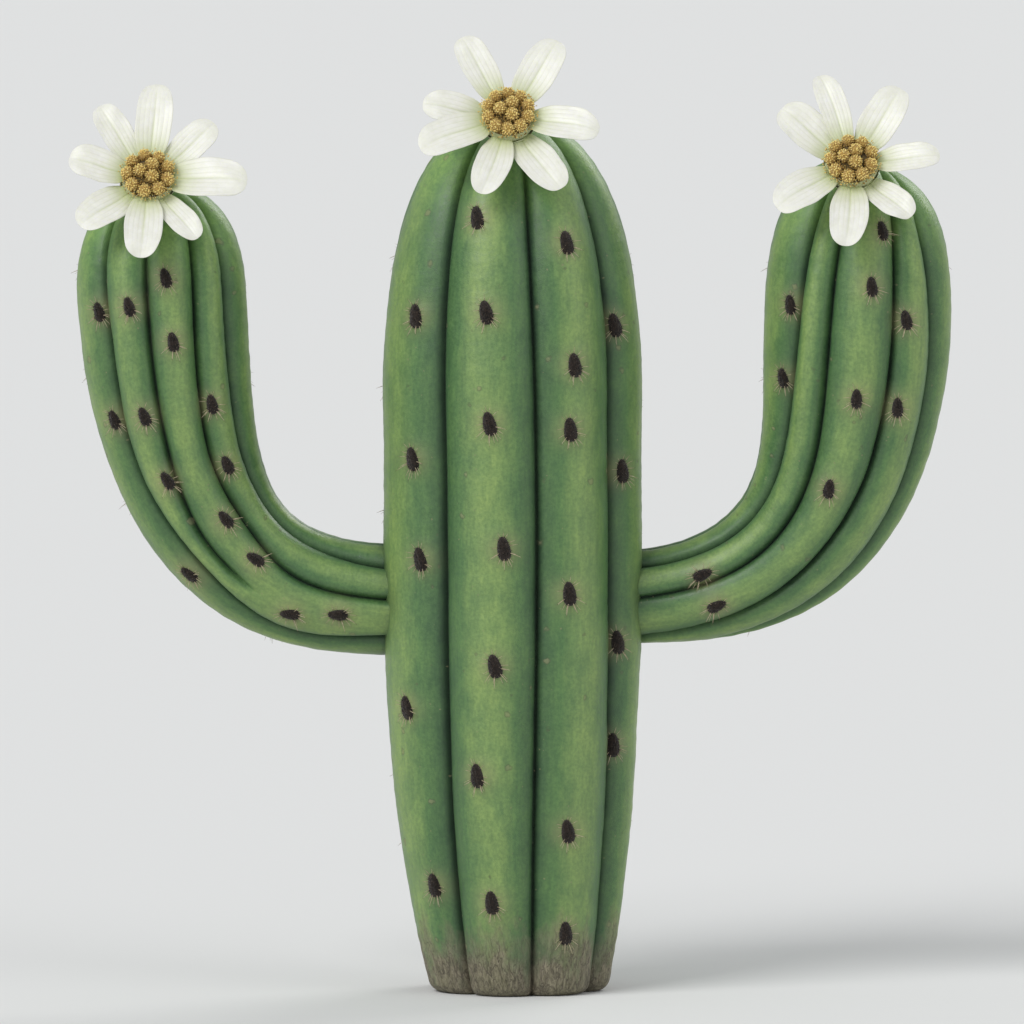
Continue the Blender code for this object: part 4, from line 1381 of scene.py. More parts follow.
def make_crown(limb):
    share, bearing = np.meshgrid(
        np.sin(np.linspace(CROWN_INNERMOST_RING, np.pi / 2, CROWN_RINGS)),
        np.linspace(-90, 270, CROWN_SIDES, endpoint=False),
        indexing="ij",
    )
    points, axis = crown_point(limb, share.ravel(), bearing.ravel())
    points[-CROWN_SIDES:] -= CROWN_SKIRT * axis[-CROWN_SIDES:]
    order = -1 if limb.side > 0 else 1
    faces = grid_faces(CROWN_RINGS, CROWN_SIDES)[:, ::order].tolist()
    faces.append(list(range(CROWN_SIDES))[:: -order])
    dress(limb.name + "_crown_wool", points, faces, [wool])

    middle = crown_point(limb, np.zeros(1), np.zeros(1))[0]

    def feet_and_ways(share, bearing, rise):
        feet, axis = crown_point(limb, share, bearing)
        outward = (feet - middle) / CROWN_RADIUS[limb.name]
        return feet, axis * rise + outward + rng.normal(0, CROWN_TOUSLE, feet.shape)

    share = rng.uniform(0, 1, CROWN_HAIRS) ** OUTWARD_CROWDING
    bearing = rng.uniform(-90, 270, CROWN_HAIRS)
    feet, ways = feet_and_ways(share, bearing, CROWN_HAIR_RISE)
    lengths = rng.uniform(*CROWN_HAIR_LENGTHS, CROWN_HAIRS)
    widths = np.full(CROWN_HAIRS, CROWN_HAIR_WIDTH)
    points, faces, _ = needles(
        feet, ways, lengths, widths, HAIR_SIDES, CROWN_HAIR_STAGES, CROWN_HAIR_BEND
    )
    dress(limb.name + "_crown_hairs", points, faces, [wool_hair])

    tufts = np.linspace(-90, 270, CROWN_TUFTS, endpoint=False)
    tufts = tufts + rng.uniform(-TUFT_STRAY, TUFT_STRAY, CROWN_TUFTS)
    spread = rng.uniform(-TUFT_SPREAD, TUFT_SPREAD, CROWN_TUFTS * TUFT_SPINES)
    share = np.repeat(rng.uniform(*TUFT_PLACES, CROWN_TUFTS), TUFT_SPINES)
    feet, ways = feet_and_ways(share, np.repeat(tufts, TUFT_SPINES) + spread, YOUNG_SPINE_RISE)
    lengths = rng.uniform(*YOUNG_SPINE_LENGTHS, len(feet))
    widths = np.full(len(feet), YOUNG_SPINE_WIDTH)
    points, faces, stage = needles(feet, ways, lengths, widths, SPINE_SIDES, SPINE_STAGES)
    dress(
        limb.name + "_crown_spines", points, faces, [young_spine, spine_tip],
        material_index=stage > DARK_FROM,
    )
    print(limb.name, "crown:", CROWN_HAIRS, "hairs,", len(feet), "young spines")


for limb in LIMBS:
    make_crown(limb)

# %% [markdown]
# ## Blooms
#
# Each flower stands on a short scaly tube from the front shoulder of its dome and faces forwards and
# up. Its petals are thick and waxy, narrow at the claw and round at the tip, and no two are quite of
# one size. One flower could be copied three times, but that shows at once. So each has petals of its
# own, and only the rule that makes them is shared. A flower is worked out upright about its own axis
# and then put in its place.

# %% Bloom sizes
@dataclass
class Bloom:
    name: str
    centre: tuple
    petals: tuple  # bearing, reach, width, and by how many degrees the tip swings aside
    outer_beads: int


BLOOM_RISE = 36  # degrees above the level
BLOOMS = (
    Bloom(
        "bloom_left", (-1.034, -0.170, 2.296),
        (
            (-3, 0.278, 0.129, -3), (41, 0.251, 0.098, 2), (85, 0.292, 0.105, 0),
            (122, 0.266, 0.092, -1), (168, 0.226, 0.109, -1), (220, 0.251, 0.111, 1),
            (266, 0.277, 0.109, 0), (303, 0.248, 0.083, 1),
        ),
        9,
    ),
    Bloom(
        "bloom_top", (-0.029, -0.220, 2.473),
        (
            (-11, 0.262, 0.107, -4), (59, 0.276, 0.110, 1), (119, 0.274, 0.097, -1),
            (173, 0.240, 0.103, -1), (203, 0.274, 0.116, 4), (256, 0.272, 0.102, -2),
            (300, 0.280, 0.109, 2),
        ),
        10,
    ),
    Bloom(
        "bloom_right", (0.930, -0.200, 2.339),
        (
            (3, 0.246, 0.090, -1), (59, 0.275, 0.112, 1), (105, 0.286, 0.083, 3),
            (139, 0.260, 0.118, -1), (214, 0.265, 0.113, 4), (268, 0.278, 0.109, -2),
            (313, 0.240, 0.092, 1),
        ),
        9,
    ),
)


def bloom_place(bloom, local):
    """Points about a bloom's own axis (its local Z), as points in the plant's frame."""
    turn = math.radians(90 - BLOOM_RISE)
    x, y, z = np.moveaxis(local, -1, 0)
    turned = [x, y * math.cos(turn) - z * math.sin(turn), y * math.sin(turn) + z * math.cos(turn)]
    return np.stack(turned, axis=-1) + np.array(bloom.centre)


def round_axis(local, degrees):
    turn = np.radians(degrees)
    x, y, z = np.moveaxis(local, -1, 0)
    return np.stack(
        [x * np.cos(turn) - y * np.sin(turn), x * np.sin(turn) + y * np.cos(turn), z], axis=-1
    )


print("petals:", sum(len(bloom.petals) for bloom in BLOOMS))

# %% [markdown]
# ## Finish of a petal
#
# A saguaro's petal is waxy white, creamier in its hollows, green at the claw and along its back, with
# faint veins from claw to tip. They could be painted. But each petal carries its own `along` and
# `across` as attributes, and then the veins are no more than a sine of `across`, which narrows with the
# petal and fits any width.

# %% Petal material
CREAM, DEEPER_CREAM = (0.830, 0.825, 0.765, 1), (0.760, 0.755, 0.670, 1)
VEIN_CREAM = (0.56, 0.57, 0.40, 1)
CLAW_GREEN = (0.40, 0.47, 0.15, 1)
BACK_GREEN = (0.60, 0.66, 0.40, 1)
HEM_GREEN = (0.62, 0.62, 0.44, 1)
VEIN_TURNS = 12  # radians of the vein pattern from the middle of a petal to its edge
VEIN_SHARPNESS, VEIN_SHARE, VEIN_DEPTH = 4, 0.42, 1.2
VEIN_FADE = (1.0, 0.35)  # share of the petal where the veins run out, and where they are whole
MIDRIB_HALF_WIDTH, MIDRIB_SHARE = 0.14, 0.35
CLAW_FADE, CLAW_POWER = (0.46, -0.06), 1.7
HEM_POWER, HEM_SHARE = 9, 0.26
BACK_REACH, BACK_SHARE = 1.05, 0.42

petal, tree, shader = new_material(
    "waxy petal", Coat_Weight=0.12, Coat_Roughness=0.28,
    Subsurface_Weight=0.2, Subsurface_Radius=(0.9, 1, 0.6), Subsurface_Scale=0.01,
)
tone = {"Place": own_place(tree), "Light": CREAM, "Dark": DEEPER_CREAM, "Scale": 45}
tone = use_group(tree, mottle, tone)
along, across, under = (attribute(tree, key) for key in ("along", "across", "under"))
off_middle = maths(tree, "ABSOLUTE", across)
veins = maths(tree, "ABSOLUTE", maths(tree, "SINE", times(tree, across, VEIN_TURNS)))
veins = maths(tree, "POWER", minus(tree, 1, veins), VEIN_SHARPNESS)
fade = remap(tree, along, *VEIN_FADE)
veins = times(tree, veins, fade)
colour = blend_colours(tree, times(tree, veins, VEIN_SHARE), tone["Colour"], VEIN_CREAM)
midrib = remap(tree, off_middle, MIDRIB_HALF_WIDTH, 0.0)
midrib = times(tree, midrib, times(tree, fade, MIDRIB_SHARE))
colour = blend_colours(tree, midrib, colour, CLAW_GREEN)
claw = maths(tree, "POWER", remap(tree, along, *CLAW_FADE), CLAW_POWER)
colour = blend_colours(tree, claw, colour, CLAW_GREEN)
hem = maths(tree, "POWER", maths(tree, "MAXIMUM", off_middle, along), HEM_POWER)
colour = blend_colours(tree, times(tree, hem, HEM_SHARE), colour, HEM_GREEN)
backs = times(tree, under, minus(tree, BACK_REACH, off_middle, clamp=True))
colour = blend_colours(tree, times(tree, backs, BACK_SHARE), colour, BACK_GREEN)
rough = uneven(tree, tone["Mask"], least=0.38, spread=0.10)
height = use_group(tree, grain, {"Place": own_place(tree), "Scale": 700, "Pits": 0.2})["Height"]
height = minus(tree, height, times(tree, veins, VEIN_DEPTH))
finish_material(tree, shader, colour, rough, height, strength=0.3, distance=0.0008)
print("material:", petal.name)

# %% [markdown]
# ## Blades
#
# A petal is a curved middle surface with a thickness that runs out to a thin edge. A Solidify modifier
# would give it one thickness all over, so its two faces are worked out from the surface's own normals
# instead. The scales of the flower's tube are made by the same rule.

# %% Blades
TINY = 1e-12  # keeps a division by zero away


def blade(surface, thickness):
    """A closed leaf from a grid of points on its middle surface and its thickness at each."""
    normal = np.cross(np.gradient(surface, axis=0), np.gradient(surface, axis=1))
    normal /= np.linalg.norm(normal, axis=-1, keepdims=True) + TINY
    half = thickness[..., None] / 2
    rows, columns = thickness.shape
    upper, lower = surface + normal * half, surface - normal * half
    points = np.concatenate([upper.reshape(-1, 3), lower.reshape(-1, 3)])
    sheet = grid_faces(rows, columns, closed=False)
    index = np.arange(rows * columns).reshape(rows, columns)
    edge = np.concatenate([index[0, :-1], index[:-1, -1], index[-1, :0:-1], index[:0:-1, 0]])
    after = np.roll(edge, -1)
    below = rows * columns
    wall = np.stack([edge, edge + below, after + below, after], axis=1)
    faces = np.concatenate([sheet[:, ::-1], sheet + below, wall[:, ::-1]])
    return points, faces.tolist()


def both_faces(grid):
    """A value for each point of a blade, alike on its two faces."""
    return np.concatenate([grid.ravel(), grid.ravel()])


print("blade rule ready")

# %% [markdown]
# ## Petals
#
# Nothing about a petal is flat. It rises from its claw and curls back at the tip, its sides stand up in
# a shallow trough, a furrow runs over the midrib and finer ones over the veins, and its margin is
# ruffled. Each of these is one term of a height, which is easier to tune than a sculpt. The terms die
# away at the very tip, where they would crumple it. Neighbours lie at different levels, so they can
# overlap without touching.

# %% Petals
PETAL_ROOT = 0.0756
PETAL_CLAW = 0.024  # how far the claw runs in under the stamens
PETAL_CLAW_DROP = 0.013
CLAW_SHARE = 0.12  # the claw lies at shares below 0 of the petal, down to this far below
CLAW_PINCH, CLAW_WIDTH = 6, 0.45  # how fast it narrows, and to what share of the root's width
PETAL_TOP = -0.004
PETAL_STEP = 0.013
PETAL_ROOT_WIDTH = 0.56
PETAL_WIDEST = 0.55
PETAL_WIDENING = 0.8
PETAL_TIP_POWER = 2.4  # 2 is an ellipse, more is blunter
PETAL_LIFT = 0.032
PETAL_RECURVE = 0.014
PETAL_TROUGH = 0.005
PETAL_MIDDLE, PETAL_EDGE = 0.0042, 0.0010  # thickness
PETAL_RUFFLE = 0.0034
RUFFLE_FROM, RUFFLE_RUN = 0.3, 0.5  # share of the petal where ruffles begin, and their run to full
PETAL_SWELL = 0.0012
MARGIN_WAVES = (0.018, 0.012)  # of the width, long waves and short
PETAL_KEEL = 0.0030
KEEL_HALF_WIDTH = 0.16  # of the petal's half width
PETAL_FLUTE = 0.0004  # depth of the furrow over each vein
KEEL_FADE, FLUTE_FADE = 0.7, 0.6  # how much of them is gone at the tip
PETAL_ROWS = (5, 18, 19)  # in its claw, its body and its rounded tip
PETAL_TIP_TURN = 88.8  # degrees of the tip's turn at which its last row lies
PETAL_COLUMNS = 33


def petal_half_width(share):
    past = np.clip((share - PETAL_WIDEST) / (1 - PETAL_WIDEST), 0, 1)
    widened = np.sin(np.pi / 2 * np.clip(share / PETAL_WIDEST, 0, 1) ** PETAL_WIDENING)
    round_tip = (1 - past**PETAL_TIP_POWER) ** (1 / PETAL_TIP_POWER)
    waist = PETAL_ROOT_WIDTH + (1 - PETAL_ROOT_WIDTH) * widened
    claw = np.clip(1 + share * CLAW_PINCH, CLAW_WIDTH, 1)
    return np.where(share > PETAL_WIDEST, round_tip, waist) * claw


def petal_level(number, count):
    """Petals take turns at two levels, and the last of an odd number has a third."""
    return 2 if number == count - 1 and count % 2 else number % 2


def make_petal(bloom, number, bearing, reach, width, sway):
    claw = np.linspace(-CLAW_SHARE, 0, PETAL_ROWS[0])[:-1]
    body = np.linspace(0, PETAL_WIDEST, PETAL_ROWS[1])[:-1]
    turn = np.radians(np.linspace(0, PETAL_TIP_TURN, PETAL_ROWS[2]))
    tip = PETAL_WIDEST + (1 - PETAL_WIDEST) * np.sin(turn)
    rows = np.concatenate([claw, body, tip])
    share, side = np.meshgrid(rows, np.linspace(-1, 1, PETAL_COLUMNS), indexing="ij")
    phase = rng.uniform(0, 2 * np.pi, 4)
    wobble = 1 + MARGIN_WAVES[0] * np.sin(7 * share + phase[0])
    wobble += MARGIN_WAVES[1] * np.sin(15 * share + 2 * side + phase[1])
    y = width / 2 * petal_half_width(share) * side * wobble
    root = np.sqrt(PETAL_ROOT**2 - y**2)
    x = root + np.where(share < 0, PETAL_CLAW / CLAW_SHARE, reach - root) * share
    rise = np.clip(share, 0, 1)
    past = np.clip((share - PETAL_WIDEST) / (1 - PETAL_WIDEST), 0, 1)
    closing = np.where(past > 0, petal_half_width(share), 1)  # every fold runs out at the tip
    off = side * closing
    z = PETAL_LIFT * np.sin(np.pi / 2 * rise) ** 2 - PETAL_RECURVE * rise**4
    z += PETAL_TROUGH * smoothstep(rise * 3) * (off**2 + 0.5 * past**2)
    z += PETAL_CLAW_DROP * np.minimum(share, 0) / CLAW_SHARE
    keel = np.exp(-((side / KEEL_HALF_WIDTH) ** 2))
    z -= PETAL_KEEL * keel * (1 - KEEL_FADE * rise) * closing
    outer = smoothstep((share - RUFFLE_FROM) / RUFFLE_RUN)
    z += PETAL_RUFFLE * outer * np.abs(off) ** 3 * np.sin(12 * share + 1.5 * off + phase[2])
    z += PETAL_SWELL * outer * np.sin(5 * off + 6 * share + phase[3])
    flutes = np.cos(2 * VEIN_TURNS * side) * (1 - side**2)
    z -= PETAL_FLUTE * flutes * (1 - FLUTE_FADE * rise) * closing
    level = PETAL_TOP - PETAL_STEP * petal_level(number, len(bloom.petals))
    surface = round_axis(np.stack([x, y, z + level], axis=-1), bearing + sway * rise**2)
    thickness = PETAL_EDGE + (PETAL_MIDDLE - PETAL_EDGE) * (1 - side**4) * (1 - rise**6)
    points, faces = blade(bloom_place(bloom, surface), thickness)
    under = np.repeat([0.0, 1.0], side.size)
    values = {"along": both_faces(share), "across": both_faces(side), "under": under}
    node = f"{bloom.name}_petal_{number + 1}"
    return dress(node + "_blade", points, faces, [petal], [node], values)


for bloom in BLOOMS:
    for number, sizes in enumerate(bloom.petals):
        make_petal(bloom, number, *sizes)
    print(bloom.name, "petals:", len(bloom.petals))

# %% [markdown]
# ## Eye of the flower
#
# Hundreds of stamens crowd the middle of a saguaro's flower. Seen from a step away their pollen-laden
# tips bunch into round golden heads. Each head here is a ball set with grains the size of anthers,
# and fine pale filaments show between the heads and fan out under them.

# %% Stamen materials
POLLEN, RIPE, SHADED_GOLD = (0.96, 0.80, 0.34, 1), (0.80, 0.55, 0.14, 1), (0.40, 0.24, 0.06, 1)
DUST = {"Scale": 900, "Radius": 0.45, "Softness": 0.2, "Share": 0.6}
DUST_SHARE = 0.3

anther, tree, shader = new_material("anther", Specular_IOR_Level=0.3, Subsurface_Weight=0.05)
here = own_place(tree)
tone = use_group(tree, mottle, {"Place": here, "Light": POLLEN, "Dark": RIPE, "Scale": 120})
# Painted shade: anthers low on a head, those of the carpet and the filament tips turn to a shaded gold.
colour = blend_colours(tree, attribute(tree, "painted_shade"), tone["Colour"], SHADED_GOLD)
dust = use_group(tree, spots, {"Place": here, **DUST})["Mask"]
colour = blend_colours(tree, times(tree, dust, DUST_SHARE), colour, POLLEN)
rough = uneven(tree, dust, least=0.75, spread=0.1)
height = use_group(tree, grain, {"Place": here, "Scale": 1600, "Pits": 0.8})["Height"]
finish_material(tree, shader, colour, rough, height, strength=0.7, distance=0.0008)

head_gold = felt_material("head gold", (0.66, 0.44, 0.12, 1), (0.40, 0.23, 0.06, 1), 260)
bed_rim = felt_material("bed rim", (0.62, 0.64, 0.38, 1), (0.46, 0.50, 0.20, 1), 200)
# The bed between the heads is dark brown: painted shade where the heads' shadow falls.
bed_painted_shade = felt_material("bed shade", (0.200, 0.135, 0.040, 1), (0.080, 0.055, 0.018, 1), 200)
filament = horn_material("filament", (0.80, 0.80, 0.58, 1), (0.62, 0.66, 0.36, 1), 0.5)
print("materials:", anther.name, head_gold.name, bed_rim.name, bed_painted_shade.name, filament.name)

# %% [markdown]
# ## Heads of stamens
#
# Stamens modelled from foot to tip would mostly hide one another. A head is a core with anthers spread
# over it along a spiral, which covers a ball evenly, and each one then leans a little its own way. Low
# on a head they are darker, through an attribute: that is painted shade, as if the anthers above shaded
# them. More anthers carpet the bed between the heads, and they are darkened with painted shade too.

# %% Eyes
EYE_PROFILE = (
    (0.0700, -0.031), (0.0742, -0.024), (0.0746, -0.014), (0.069, -0.002), (0.058, 0.009),
    (0.038, 0.019), (0.018, 0.024), (0.002, 0.025),
)
EYE_SIDES = 40
BED_RIM_ROWS = 3  # rows of faces at its edge that are pale
BEAD_RADIUS = 0.0195
INNER_BEADS = (3, 0.0215, 0.031)  # how many, radius and height of their ring
OUTER_BEAD_RING = (0.0568, 0.0175)
ANTHERS_PER_BEAD = 84
CORE_SHARE, ANTHER_SEAT = 0.86, 0.93  # of a bead's radius: its core, and where its anthers sit
CORE_GRID, ANTHER_GRID = (20, 12), (6, 4)  # sides and rings
HEAD_JITTER, HEAD_TOUSLE = 0.10, 0.45
BURIED = -0.45  # anthers that face away from the eye by more than this are left out
# From the next value on, the lower anthers darken with painted shade.
PAINTED_SHADE_FROM = 0.75  # those that face out of it by less than this begin to darken
ANTHER_SIZE = (0.0021, 0.0021, 0.0031)
ANTHER_SPREAD = (0.85, 1.2)  # smallest and largest, as shares of the size
CARPET_ANTHERS = 520
CARPET_REACH = 0.0746
CARPET_DEPTH = 0.004
CARPET_SPLAY, CARPET_TOUSLE = 9, 0.3
# The carpet's anthers take this much painted shade.
CARPET_PAINTED_SHADE = 0.9
CARPET_SPREAD = (0.8, 1.1)


def turned(profile, sides):
    """A closed solid of revolution about local Z, from its lower edge inward over the top."""
    turn = np.linspace(0, 2 * np.pi, sides, endpoint=False)
    radius, height = np.array(profile).T
    x, y = radius[:, None] * np.cos(turn), radius[:, None] * np.sin(turn)
    points = np.stack([x, y, height[:, None] + 0 * turn], axis=-1)
    faces = grid_faces(len(profile), sides).tolist()
    count = points.shape[0] * sides
    faces += [list(range(sides))[::-1], list(range(count - sides, count))]
    return points.reshape(-1, 3), faces


def ball(segments, rings):
    """A small round grain of radius 1."""
    turn = np.linspace(0, 2 * np.pi, segments, endpoint=False)
    level = np.linspace(-np.pi / 2, np.pi / 2, rings + 1)[1:-1]
    points = np.stack(
        [
            np.cos(level)[:, None] * np.cos(turn),
            np.cos(level)[:, None] * np.sin(turn),
            np.sin(level)[:, None] + 0 * turn,
        ],
        axis=-1,
    ).reshape(-1, 3)
    points = np.concatenate([points, [(0, 0, -1), (0, 0, 1)]])
    faces = grid_faces(len(level), segments).tolist()
    last = (len(level) - 1) * segments
    for i in range(segments):
        after = (i + 1) % segments
        faces.append([after, i, len(points) - 2])
        faces.append([last + i, last + after, len(points) - 1])
    return points, faces


def spread_on_ball(count):
    """Even directions all over a ball, along a spiral."""
    height = 1 - 2 * (np.arange(count) + 0.5) / count
    turn = np.arange(count) * math.pi * (3 - math.sqrt(5))
    flat = np.sqrt(1 - height**2)
    return np.stack([flat * np.cos(turn), flat * np.sin(turn), height], axis=1)


def bead_centres(bloom):
    centres = []
    for count, radius, height in (INNER_BEADS, (bloom.outer_beads, *OUTER_BEAD_RING)):
        angle = 2 * math.pi * (np.arange(count) + 0.5) / count
        centres += [(radius * math.cos(a), radius * math.sin(a), height) for a in angle]
    return np.array(centres)


def place_grains(centres, ways, sizes, template):
    """Copies of a grain, its long axis along each way."""
    right = -sideways(ways)
    axes = np.stack([right, np.cross(ways, right), ways], axis=1)
    points, faces = template
    placed = centres[:, None] + np.einsum("nkc,ncd->nkd", points[None] * sizes[:, None], axes)
    return placed.reshape(-1, 3), copied_faces(faces, len(points), len(centres))


def make_eye(bloom):
    bed, bed_faces = turned(EYE_PROFILE, EYE_SIDES)
    centres = bead_centres(bloom)
    upright = np.tile((0.0, 0, 1), (len(centres), 1))
    sizes = np.full((len(centres), 3), BEAD_RADIUS * CORE_SHARE)
    cores = place_grains(centres, upright, sizes, ball(*CORE_GRID))
    points, faces = join([(bed, bed_faces), cores])
    rim_faces = BED_RIM_ROWS * EYE_SIDES
    shades = np.repeat([0, 1, 2], [rim_faces, len(bed_faces) - rim_faces, len(cores[1])])
    dress(
        bloom.name + "_eye", bloom_place(bloom, points), faces,
        [bed_rim, bed_painted_shade, head_gold],
        [bloom.name + "_stamens"], material_index=shades,
    )
    ways = np.tile(spread_on_ball(ANTHERS_PER_BEAD), (len(centres), 1))
    ways = unit(ways + rng.normal(0, HEAD_JITTER, ways.shape))
    bead = np.repeat(centres, ANTHERS_PER_BEAD, axis=0)
    outward = unit(bead * (1, 1, 0) / OUTER_BEAD_RING[0] + (0, 0, 1))
    shown = (ways * outward).sum(axis=1)
    seen = shown > BURIED
    bead, ways, shown = bead[seen], ways[seen], shown[seen]
    # How much painted shade darkens each anther of the heads.
    painted_shade = smoothstep(PAINTED_SHADE_FROM - shown)
    sizes = np.array(ANTHER_SIZE) * rng.uniform(*ANTHER_SPREAD, (len(ways), 1))
    lean = unit(ways + rng.normal(0, HEAD_TOUSLE, ways.shape))
    seats = bead + ways * BEAD_RADIUS * ANTHER_SEAT
    heads = place_grains(seats, lean, sizes, ball(*ANTHER_GRID))

    turn = rng.uniform(0, 2 * np.pi, CARPET_ANTHERS)
    out = CARPET_REACH * rng.uniform(0, 1, CARPET_ANTHERS) ** OUTWARD_CROWDING
    bed_radius, bed_height = np.array(EYE_PROFILE[:1:-1]).T
    height = np.interp(out, bed_radius, bed_height) + rng.uniform(0, CARPET_DEPTH, CARPET_ANTHERS)
    seats = np.stack([out * np.cos(turn), out * np.sin(turn), height], axis=1)
    lean = seats * (CARPET_SPLAY, CARPET_SPLAY, 0) + (0, 0, 1)
    lean = unit(lean + rng.normal(0, CARPET_TOUSLE, seats.shape))
    sizes = np.array(ANTHER_SIZE) * rng.uniform(*CARPET_SPREAD, (CARPET_ANTHERS, 1))
    carpet = place_grains(seats, lean, sizes, ball(*ANTHER_GRID))

    points, faces = join([heads, carpet])
    painted_shade = np.concatenate([painted_shade, np.full(CARPET_ANTHERS, CARPET_PAINTED_SHADE)])
    values = {"painted_shade": np.repeat(painted_shade, len(points) // len(painted_shade))}
    place = bloom_place(bloom, points)
    dress(bloom.name + "_anthers", place, faces, [anther], values=values)
    print(bloom.name, "anthers:", len(painted_shade))


for bloom in BLOOMS:
    make_eye(bloom)

# %% [markdown]
# ## Filaments
#
# Round the edge of the eye single stamens do show. Pale threads fan out from under the heads, each with
# an anther at its end. They are the needles of the spines again, only finer, and they break up what
# would be a hard rim.

# %% Filaments
FILAMENTS = 190
FILAMENT_FEET = (0.030, 0.060)  # distances from the middle of the eye
FILAMENT_FOOT_HEIGHT = 0.001
FILAMENT_RISE = (4, 34)  # degrees
FILAMENT_LENGTHS = (0.022, 0.036)
FILAMENT_REACH = 0.083  # how far from the middle their tips may be
FILAMENT_WIDTH = 0.0011
FILAMENT_SIDES = 5
FILAMENT_STAGES = (0, 0.4, 0.75, 1)
TIP_SPREAD = (0.7, 0.95)  # smallest and largest anther, as shares of the size
# The filament tips take this much painted shade.
TIP_PAINTED_SHADE = 0.25


def make_filaments(bloom):
    angle = rng.uniform(0, 2 * np.pi, FILAMENTS)
    start = rng.uniform(*FILAMENT_FEET, FILAMENTS)
    rise = np.radians(rng.uniform(*FILAMENT_RISE, FILAMENTS))
    level = np.full(FILAMENTS, FILAMENT_FOOT_HEIGHT)
    foot = np.stack([np.cos(angle) * start, np.sin(angle) * start, level], axis=1)
    room = (FILAMENT_REACH - start) / np.cos(rise)
    length = np.minimum(rng.uniform(*FILAMENT_LENGTHS, FILAMENTS), room)
    tip = foot + way_of(angle, rise) * length[:, None]
    feet, tips = bloom_place(bloom, foot), bloom_place(bloom, tip)
    widths = np.full(FILAMENTS, FILAMENT_WIDTH)
    points, faces, _ = needles(feet, tips - feet, length, widths, FILAMENT_SIDES, FILAMENT_STAGES)
    dress(bloom.name + "_filaments", points, faces, [filament])
    sizes = np.array(ANTHER_SIZE) * rng.uniform(*TIP_SPREAD, (FILAMENTS, 1))
    points, faces = place_grains(tips, unit(tips - feet), sizes, ball(*ANTHER_GRID))
    values = {"painted_shade": np.full(len(points), TIP_PAINTED_SHADE)}
    dress(bloom.name + "_filament_tips", points, faces, [anther], values=values)
    print(bloom.name, "filaments:", FILAMENTS)


for bloom in BLOOMS:
    make_filaments(bloom)

# %% [markdown]
# ## Flower tube
#
# Behind the petals the flower narrows to a green tube, closely set with small fleshy scales that
# overlap like tiles and grow longer and paler towards the petals. Each scale is pale and thin at its
# margin. The same `along` and `across` that drew the petals' veins find that margin. One finish
# serves the scales and the bare tube, because a high `along` is also what pales both under the petals.
# That paling is partly their own paler green and partly painted light, which lifts them out of the
# petals' shadow.

# %% Tube material
TUBE_GREEN, TUBE_DEEP_GREEN = (0.24, 0.34, 0.11, 1), (0.11, 0.19, 0.06, 1)
SCALE_RIM = (0.68, 0.68, 0.46, 1)
RIM_NARROWNESS, RIM_SHARE = 3, 0.75

tube_skin, tree, shader = new_material("tube skin", Coat_Weight=0.08, Coat_Roughness=0.35)
here = own_place(tree)
tone = {"Place": here, "Light": TUBE_GREEN, "Dark": TUBE_DEEP_GREEN, "Scale": 40, "Stretch": 1.5}
tone = use_group(tree, mottle, tone)
sides = maths(tree, "ABSOLUTE", attribute(tree, "across"))
sides = maths(tree, "POWER", sides, RIM_NARROWNESS)
end = maths(tree, "POWER", attribute(tree, "along"), RIM_NARROWNESS)
rim = maths(tree, "MAXIMUM", sides, end, clamp=True)
colour = blend_colours(tree, times(tree, rim, RIM_SHARE), tone["Colour"], SCALE_RIM)
rough = uneven(tree, tone["Mask"], least=0.42, spread=0.12)
height = use_group(tree, grain, {"Place": here, "Scale": 600, "Pits": 0.4})["Height"]
finish_material(tree, shader, colour, rough, height, strength=0.35, distance=0.0008)
print("material:", tube_skin.name)

# %% [markdown]
# ## Tube and scales
#
# The tube is turned from a profile, and the scales are blades like the petals, placed ring by ring,
# each ring turned half a scale against the last. Modelling them into the tube would be one mesh fewer,
# but tiles that truly overlap cast the small shadows that make them read as scales.

# %% Tubes
TUBE_PROFILE = (
    (0.044, -0.165), (0.042, -0.120), (0.042, -0.100), (0.043, -0.084), (0.047, -0.070),
    (0.054, -0.058), (0.063, -0.048), (0.070, -0.036), (0.0725, -0.028), (0.0715, -0.023),
    (0.066, -0.021), (0.050, -0.022), (0.002, -0.023),
)
TUBE_FLANK = TUBE_PROFILE[:9]  # from its foot up to where it is widest
TUBE_SIDES = 48
# The tube pales towards its top: partly its own paler green, partly painted light in the petals'
# shadow.
PALE_AND_LIT_FROM, PALE_AND_LIT_RUN = -0.062, 0.030  # height at which the tube begins to pale, and how soon it has
SCALE_RINGS = 9
SCALES_PER_RING = 11
SCALE_GRID = 7  # points along a scale, and across it
SCALE_FOOT_HEIGHTS = (-0.160, -0.058)
SCALE_LENGTHS = (0.024, 0.036)
SCALE_STRAY = 0.08  # of the distance between two
SCALE_SPREAD = (0.9, 1.1)  # shortest and longest, as shares of the length
SCALE_LIFT, SCALE_FLARE, SCALE_BULGE = 0.0022, 0.006, 0.0020  # off the tube: all over, tip, middle
SCALE_HALF_WIDTH = 0.72  # of the distance between two
SCALE_TIP_POWERS = (2.4, 0.6)
SCALE_TIP_WIDTH = 0.0006
SCALE_EDGE, SCALE_BODY = 0.0007, 0.0021  # thickness at its edge, and how much more in the middle
PALEST_LIT_SCALES = 0.95


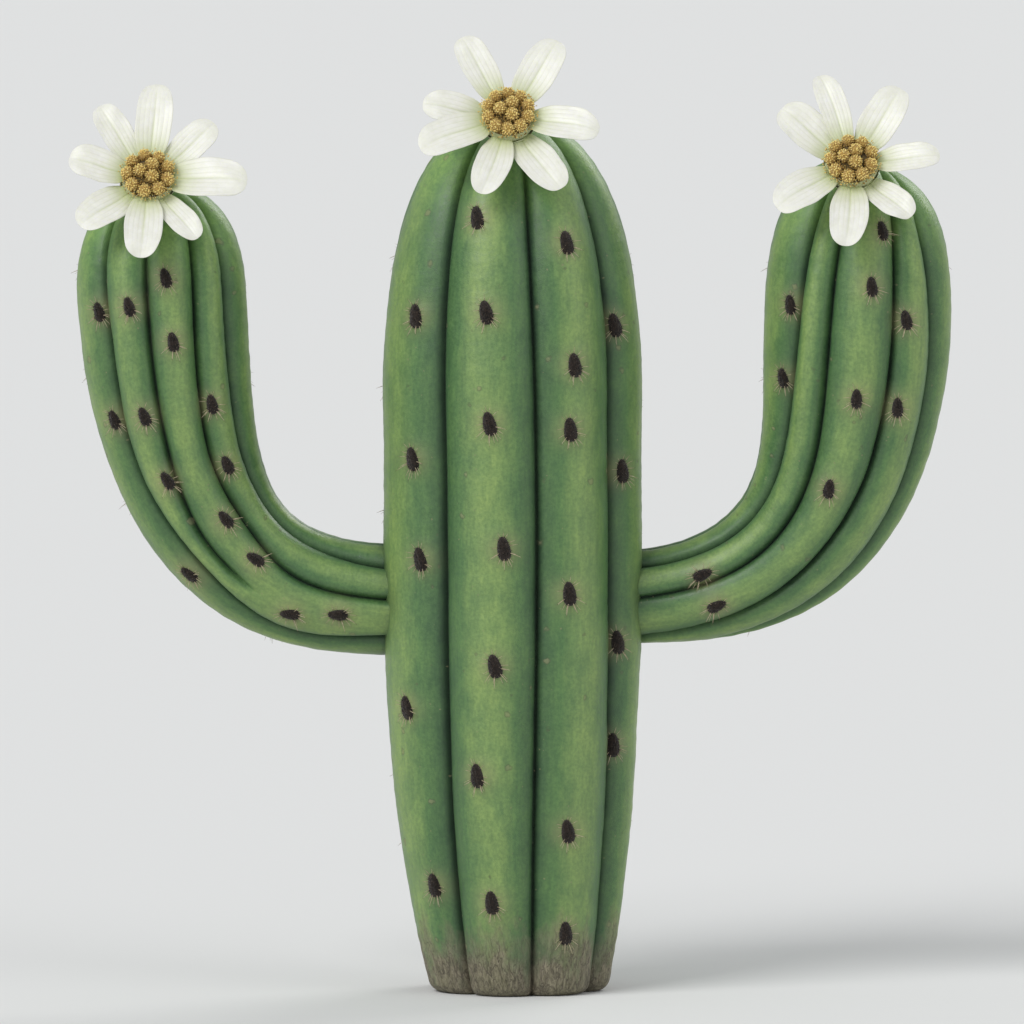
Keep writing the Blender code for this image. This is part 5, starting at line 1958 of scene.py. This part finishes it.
def make_tube(bloom):
    points, faces = turned(TUBE_PROFILE, TUBE_SIDES)
    # Paler towards the top: partly its own colour, partly painted light in the petals' shadow.
    pale = smoothstep((points[:, 2] - PALE_AND_LIT_FROM) / PALE_AND_LIT_RUN)
    values = {"along": pale, "across": np.zeros(len(points))}
    dress(
        bloom.name + "_tube_flesh", bloom_place(bloom, points), faces, [tube_skin],
        [bloom.name + "_tube"], values,
    )
    radii, heights = np.array(TUBE_FLANK).T
    share, side = np.linspace(0, 1, SCALE_GRID), np.linspace(-1, 1, SCALE_GRID)
    share, side = np.meshgrid(share, side, indexing="ij")
    leaves = []
    for ring in range(SCALE_RINGS):
        up = ring / (SCALE_RINGS - 1)
        foot = SCALE_FOOT_HEIGHTS[0] + (SCALE_FOOT_HEIGHTS[1] - SCALE_FOOT_HEIGHTS[0]) * up
        length = SCALE_LENGTHS[0] + (SCALE_LENGTHS[1] - SCALE_LENGTHS[0]) * up
        for number in range(SCALES_PER_RING):
            stray = rng.uniform(-SCALE_STRAY, SCALE_STRAY)
            turn = 360 * (number + ring / 2 + stray) / SCALES_PER_RING
            height = foot + length * rng.uniform(*SCALE_SPREAD) * share
            radius = np.interp(height, heights, radii) + SCALE_LIFT + SCALE_FLARE * share**2
            width = 2 * np.pi * radius / SCALES_PER_RING * SCALE_HALF_WIDTH
            width *= (1 - share ** SCALE_TIP_POWERS[0]) ** SCALE_TIP_POWERS[1]
            y = (width + SCALE_TIP_WIDTH) * side
            radius = radius + SCALE_BULGE * (1 - side**2) * (1 - share)
            x, y = radius * np.cos(y / radius), radius * np.sin(y / radius)
            local = np.stack([x, y, height], axis=-1)
            surface = bloom_place(bloom, round_axis(local, turn))
            thickness = SCALE_EDGE + SCALE_BODY * (1 - side**2) * (1 - share**2)
            leaves.append(blade(surface, thickness))
    points, faces = join(leaves)
    # Upper rings are paler: partly their own colour, partly painted light in the petals' shadow.
    paler = np.linspace(0, PALEST_LIT_SCALES, SCALE_RINGS) ** 2
    paler = np.repeat(paler, len(points) // SCALE_RINGS)
    along = np.maximum(np.tile(both_faces(share), len(leaves)), paler)
    values = {"along": along, "across": np.tile(both_faces(side), len(leaves))}
    dress(bloom.name + "_scales", points, faces, [tube_skin], values=values)
    print(bloom.name, "scales:", len(leaves))


for bloom in BLOOMS:
    make_tube(bloom)
